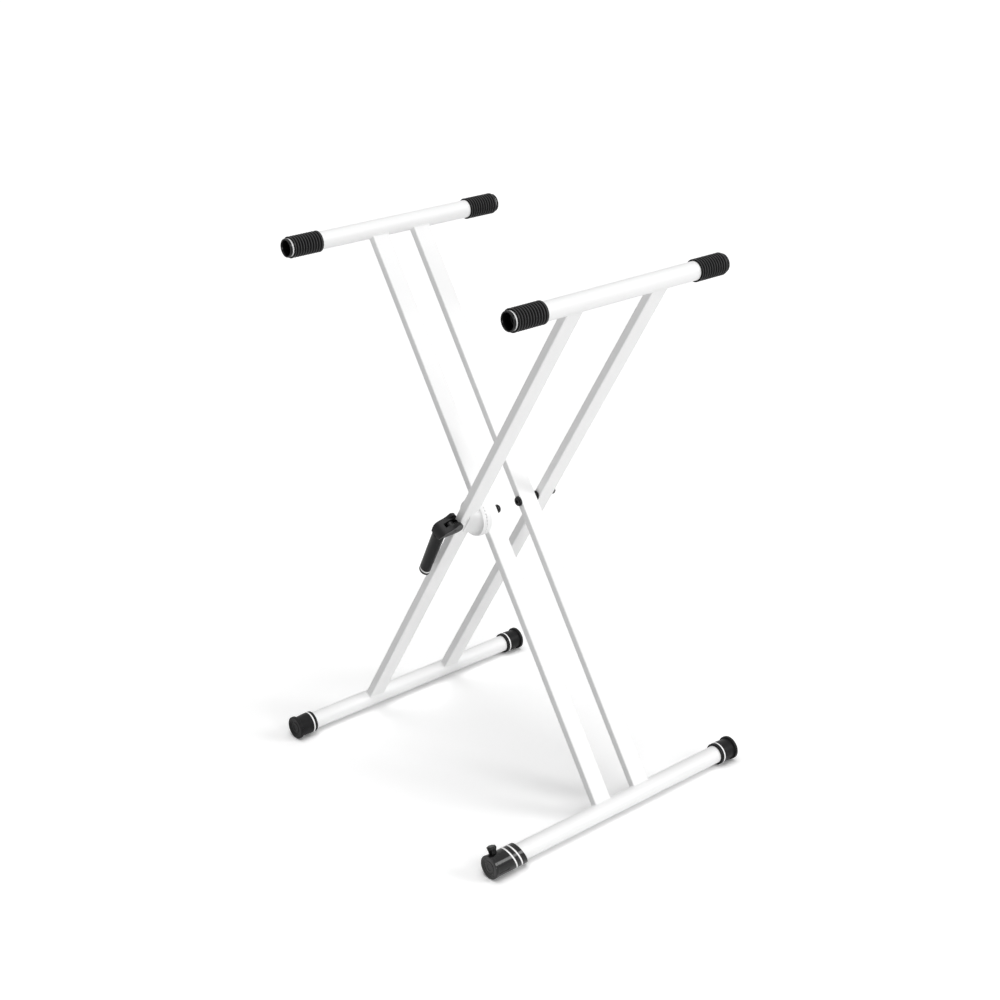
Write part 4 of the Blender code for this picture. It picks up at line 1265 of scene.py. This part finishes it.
@dataclass
class CamLever:
    """The cam lever, measured from its pin: Y towards the leg, Z up along it."""

    pin_y: float = -123.0
    cam: float = 13.2
    cam_drop: float = 2.5
    swing: float = 80.0
    dwell: float = 28.0
    cam_steps: int = 20
    half_width: float = 14.5
    throat_half: float = 8.0
    block_half: float = 8.5
    flank_edge: float = 4.6
    tip: tuple[float, float] = (3.0, 0.3)
    tip_radius: float = 15.4
    tip_from: float = -46.0
    head_top: Outline = ((0.2, 12.6), (-3.8, 9.0), (-9.2, 6.0), (-15.2, 3.8), (-20.6, 1.0), (-24.6, -3.0),
                         (-26.8, -7.8), (-27.7, -12.4))
    throat: Outline = ((0.0, -14.3), (7.0, -13.4))
    taper_from: float = -3.0
    slot_half: float = 4.5
    slot_back: float = -13.5
    slot_bottom: float = -12.0
    back: float = -20.5
    tilt: float = 5.6
    seam: float = -15.5
    pin_hole: float = 3.1
    handle_end: float = -117.6
    half_across: float = 11.2
    swell: float = 1.1
    half_deep: float = 8.8
    ring: float = 3.0
    ring_sunk: float = 0.15
    cap: float = 6.5
    cap_rim: Outline = ((0.74, 0.0), (0.91, 0.5), (0.985, 1.6), (1.0, 3.0))
    edge: float = 0.8

    def place(self) -> Matrix:
        """Return the pin's place in the outer frame's directions."""
        return Side.OUTER.matrix() @ move(0.0, self.pin_y, 0.0)

    def handle_axis(self) -> Matrix:
        """Return the handle's own axis, which leans towards the leg going down."""
        return self.place() @ move(0.0, self.back, 0.0) @ turn(self.tilt, "X")

    def seam_corners(self) -> Points:
        """Return where the head ends on the handle, back and front, as (y, z)."""
        turned_by = Matrix.Rotation(math.radians(self.tilt), 2)
        spots = [turned_by @ Vector((side * self.half_deep, self.seam)) for side in (-1.0, 1.0)]
        return [(spot.x + self.back, spot.y) for spot in spots]

    def cam_radius(self, angle: float) -> float:
        """Return the cam's radius at an angle from its locked bearing point, in degrees."""
        return self.cam - self.cam_drop * max(angle, 0.0) / self.swing

    def outline(self, bearing: Outline, top: Outline) -> Points:
        """Close a side view: bearing curve, smooth top and back, seam and throat.

        Args:
            bearing: The curve against the leg, upwards.
            top: The points over the top and down the back.

        Returns:
            The whole side view.
        """
        back, front = self.seam_corners()
        over = flowing([*top, back], 4)
        under = flowing([front, *self.throat, bearing[0]], 4)
        return [*bearing[1:], *over, *under]

    def shape(self, outline: Outline, half_width: float) -> Item:
        """Push a side view across the fork and narrow it towards the handle.

        Args:
            outline: The side view.
            half_width: Half of its width at the top.

        Returns:
            The solid, in object mode.
        """
        item = prism(outline, half_width)
        only(item)
        bpy.ops.object.mode_set(mode="EDIT")
        low = self.seam_corners()[0][1]
        for level in sorted({round(z, 6) for _, z in outline if z < self.taper_from}):
            share = min(1.0, (self.taper_from - level) / (self.taper_from - low))
            narrow = 1.0 - share * max(0.0, 1.0 - self.half_across / half_width)
            choose(item, "VERT", lambda v: abs(v.co.z - level * MM) < 2e-8)
            bpy.ops.transform.resize(value=(narrow, 1.0, 1.0), center_override=(0.0, 0.0, 0.0))
        return item

    def head(self) -> None:
        """Make the fork: two round-edged flanks, the cam block between them, the slot and the pin's hole."""
        tip = arc(self.tip, self.tip_radius, self.tip_from, 90.0, 24)
        item = self.shape(self.outline(tip, self.head_top), self.half_width)
        seam = {round(z, 3) for _, z in self.seam_corners()}
        choose(item, "EDGE", lambda e: abs(e.verts[0].co.x - e.verts[1].co.x) < 4.0 * MM
               and {round(v.co.z / MM, 3) for v in e.verts} != seam)
        bpy.ops.mesh.bevel(offset=self.flank_edge * MM, segments=6, affect="EDGES", clamp_overlap=True)
        bpy.ops.object.mode_set(mode="OBJECT")
        wide = self.throat_half
        merged(item, "DIFFERENCE", bar((-wide, -60.0, -60.0), (wide, 60.0, 60.0)))
        count = self.cam_steps
        angles = [-self.dwell + (90.0 + self.dwell) * step / count for step in range(count + 1)]
        bearing = [arc((0.0, 0.0), self.cam_radius(angle), angle, angle, 1)[0] for angle in angles]
        block = self.shape(self.outline(bearing, self.head_top[1:]), self.block_half)
        bpy.ops.object.mode_set(mode="OBJECT")
        merged(item, "UNION", block)
        slot = bar((-self.slot_half, self.slot_back, self.slot_bottom), (self.slot_half, 40.0, 40.0))
        hole = put(rod(self.pin_hole, -40.0, 40.0, 48), turn(90.0, "Y"))
        merged(item, "DIFFERENCE", slot, hole)
        put(item, self.place())
        seat(item, GRAINED, "lever", "lever_head")

    def oval(self, section: Outline) -> Item:
        """Turn a piece and flatten it to the handle's oval.

        Args:
            section: Its half section, across the handle.

        Returns:
            The piece, in its place.
        """
        squeeze = Matrix.Diagonal((1.0, self.half_deep / self.half_across, 1.0, 1.0))
        return put(turned(section), self.handle_axis() @ squeeze)

    def handle(self) -> None:
        """Turn the grip, the ring and the end cap."""
        wide, edge, high, low = self.half_across, self.edge, self.seam - SNUG, self.handle_end
        grip = self.oval([(0.0, low), *arc((wide - edge, low + edge), edge, -90.0, 0.0, 4),
                          *arc((wide + self.swell - edge, high - edge), edge, 0.0, 90.0, 4), (0.0, high)])
        seat(grip, RUBBER, "lever", "lever_handle")
        top, end = low - SNUG, low - self.ring
        ring = self.oval(edged(0.0, wide - self.ring_sunk, end, top, 0.3))
        seat(ring, RING, "lever", "lever_ring")
        top, end = low - self.ring - SNUG, low - self.ring - self.cap
        rim = flowing([(wide * share, end + up) for share, up in self.cap_rim], 5)
        cap = self.oval([(0.0, end), *rim, (wide, top - 0.3), (wide - 0.3, top), (0.0, top)])
        seat(cap, RUBBER, "lever", "lever_end_cap")

    def build(self) -> None:
        """Make the head, then what is on the handle."""
        self.head()
        self.handle()


@dataclass
class Studio:
    """The pale floor, the lamps and the camera of the product view."""

    azimuth: float = 49.73333
    elevation: float = 21.7622
    roll: float = -1.08598
    focal_px: float = 1843.7259
    centre_px: tuple[float, float] = (510.65, 465.88)
    place: Triple = (2.28958, -1.91114, 1.7570615)
    ambient: float = 0.24
    floor_tone: float = 0.8
    floor_gain: float = 0.448
    lamps: tuple[tuple[str, Triple, float, float], ...] = (
        ("key", (1.0, -0.12, 0.03), 30.0, 1.98),
        ("gloss", (0.66, 0.56, 0.5), 22.0, 0.75),
        ("top", (0.05, -0.05, 1.0), 50.0, 1.6))

    def camera(self) -> None:
        """Stand the camera where the photographer stood."""
        a = math.radians(self.azimuth)
        e = math.radians(self.elevation)
        r = math.radians(self.roll)
        back = Vector((math.sin(a) * math.cos(e), -math.cos(a) * math.cos(e), math.sin(e)))
        right = Vector((math.cos(a), math.sin(a), 0.0))
        up = back.cross(right)
        across = right * math.cos(r) + up * math.sin(r)
        above = up * math.cos(r) - right * math.sin(r)
        lens = bpy.data.cameras.new("camera")
        lens.sensor_width = 36.0
        lens.lens = self.focal_px * 36.0 / 1000.0
        lens.shift_x = (500.0 - self.centre_px[0]) / 1000.0
        lens.shift_y = (self.centre_px[1] - 500.0) / 1000.0
        lens.clip_start, lens.clip_end = 0.05, 100.0
        item = bpy.data.objects.new("camera", lens)
        bpy.context.scene.collection.objects.link(item)
        turn = Matrix((across, above, back)).transposed().to_4x4()
        item.matrix_world = Matrix.Translation(self.place) @ turn
        bpy.context.scene.camera = item

    def sun(self, name: str, came_from: Triple, spread: float, strength: float) -> None:
        """Hang a soft lamp so far away that it lights everything alike.

        Args:
            name: Name of the lamp.
            came_from: The direction from the object to the lamp.
            spread: Its width in degrees, as seen from the object.
            strength: Its strength.
        """
        data = bpy.data.lights.new(name, "SUN")
        data.angle = math.radians(spread)
        data.energy = strength
        item = bpy.data.objects.new(name, data)
        bpy.context.scene.collection.objects.link(item)
        item.rotation_mode = "QUATERNION"
        item.rotation_quaternion = Vector(came_from).to_track_quat("Z", "Y")

    def seen(self, tree: Tree, plain: Socket, shown: Socket,
             out: str) -> None:
        """Finish a tree with one shader for rays that only light, and another for rays that show.

        Args:
            tree: The tree.
            plain: The shader for rays that only light.
            shown: The shader for camera, glossy and transmission rays.
            out: The type of the tree's output node.
        """
        path = tree.nodes.new("ShaderNodeLightPath").outputs
        share = path["Is Camera Ray"]
        for ray in ("Is Glossy Ray", "Is Transmission Ray"):
            share = node(tree, "Math", {0: share, 1: path[ray]}, operation="MAXIMUM")
        node(tree, out, {"Surface": node(tree, "MixShader", {"Fac": share, 1: plain, 2: shown})})

    def world(self) -> None:
        """Light the room evenly, and show white behind the object."""
        room = bpy.data.worlds.new("room")
        bpy.context.scene.world = room
        room.use_nodes = True
        tree = room.node_tree
        tree.nodes.clear()
        soft = node(tree, "Background", {"Color": grey(0.8), "Strength": self.ambient})
        white = node(tree, "Background", {"Color": grey(1.0), "Strength": 1.0})
        self.seen(tree, soft, white, "OutputWorld")

    def floor(self) -> None:
        """Lay a pale floor that keeps the object's shadow."""
        bpy.ops.object.select_all(action="DESELECT")
        bpy.ops.mesh.primitive_plane_add(size=60.0)
        item = bpy.context.active_object
        item.name = "floor"
        paint = bpy.data.materials.new("floor white")
        paint.use_nodes = True
        tree = paint.node_tree
        tree.nodes.clear()
        plain = node(tree, "BsdfDiffuse", {"Color": grey(self.floor_tone)})
        gain = node(tree, "BsdfDiffuse", {"Color": grey(self.floor_gain)})
        self.seen(tree, plain, node(tree, "AddShader", {0: plain, 1: gain}), "OutputMaterial")
        item.data.materials.append(paint)

    def build(self) -> None:
        """Make the whole studio."""
        bpy.context.scene.view_settings.view_transform = "Standard"
        self.camera()
        self.world()
        self.floor()
        for lamp in self.lamps:
            self.sun(*lamp)
        LOG.info("studio ready")


def main() -> None:
    """Build everything in order."""
    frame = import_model()
    dress_frame(frame)
    outer = Frame(Side.OUTER, {End.NEAR: -92.0, End.FAR: 92.0})
    inner = Frame(Side.INNER, {End.NEAR: -39.5, End.FAR: 51.5})
    for item in (outer, inner):
        item.build()
    RailEnds((outer, inner)).build()
    FootCap().build(((outer, End.NEAR), (outer, End.FAR), (inner, End.FAR)))
    LevellingFoot(frame=inner).build_foot()
    Clutch().build()
    PivotHardware().build()
    CamLever().build()
    Studio().build()


if __name__ == "__main__":
    logging.basicConfig(level=logging.INFO, format="%(message)s")
    main()
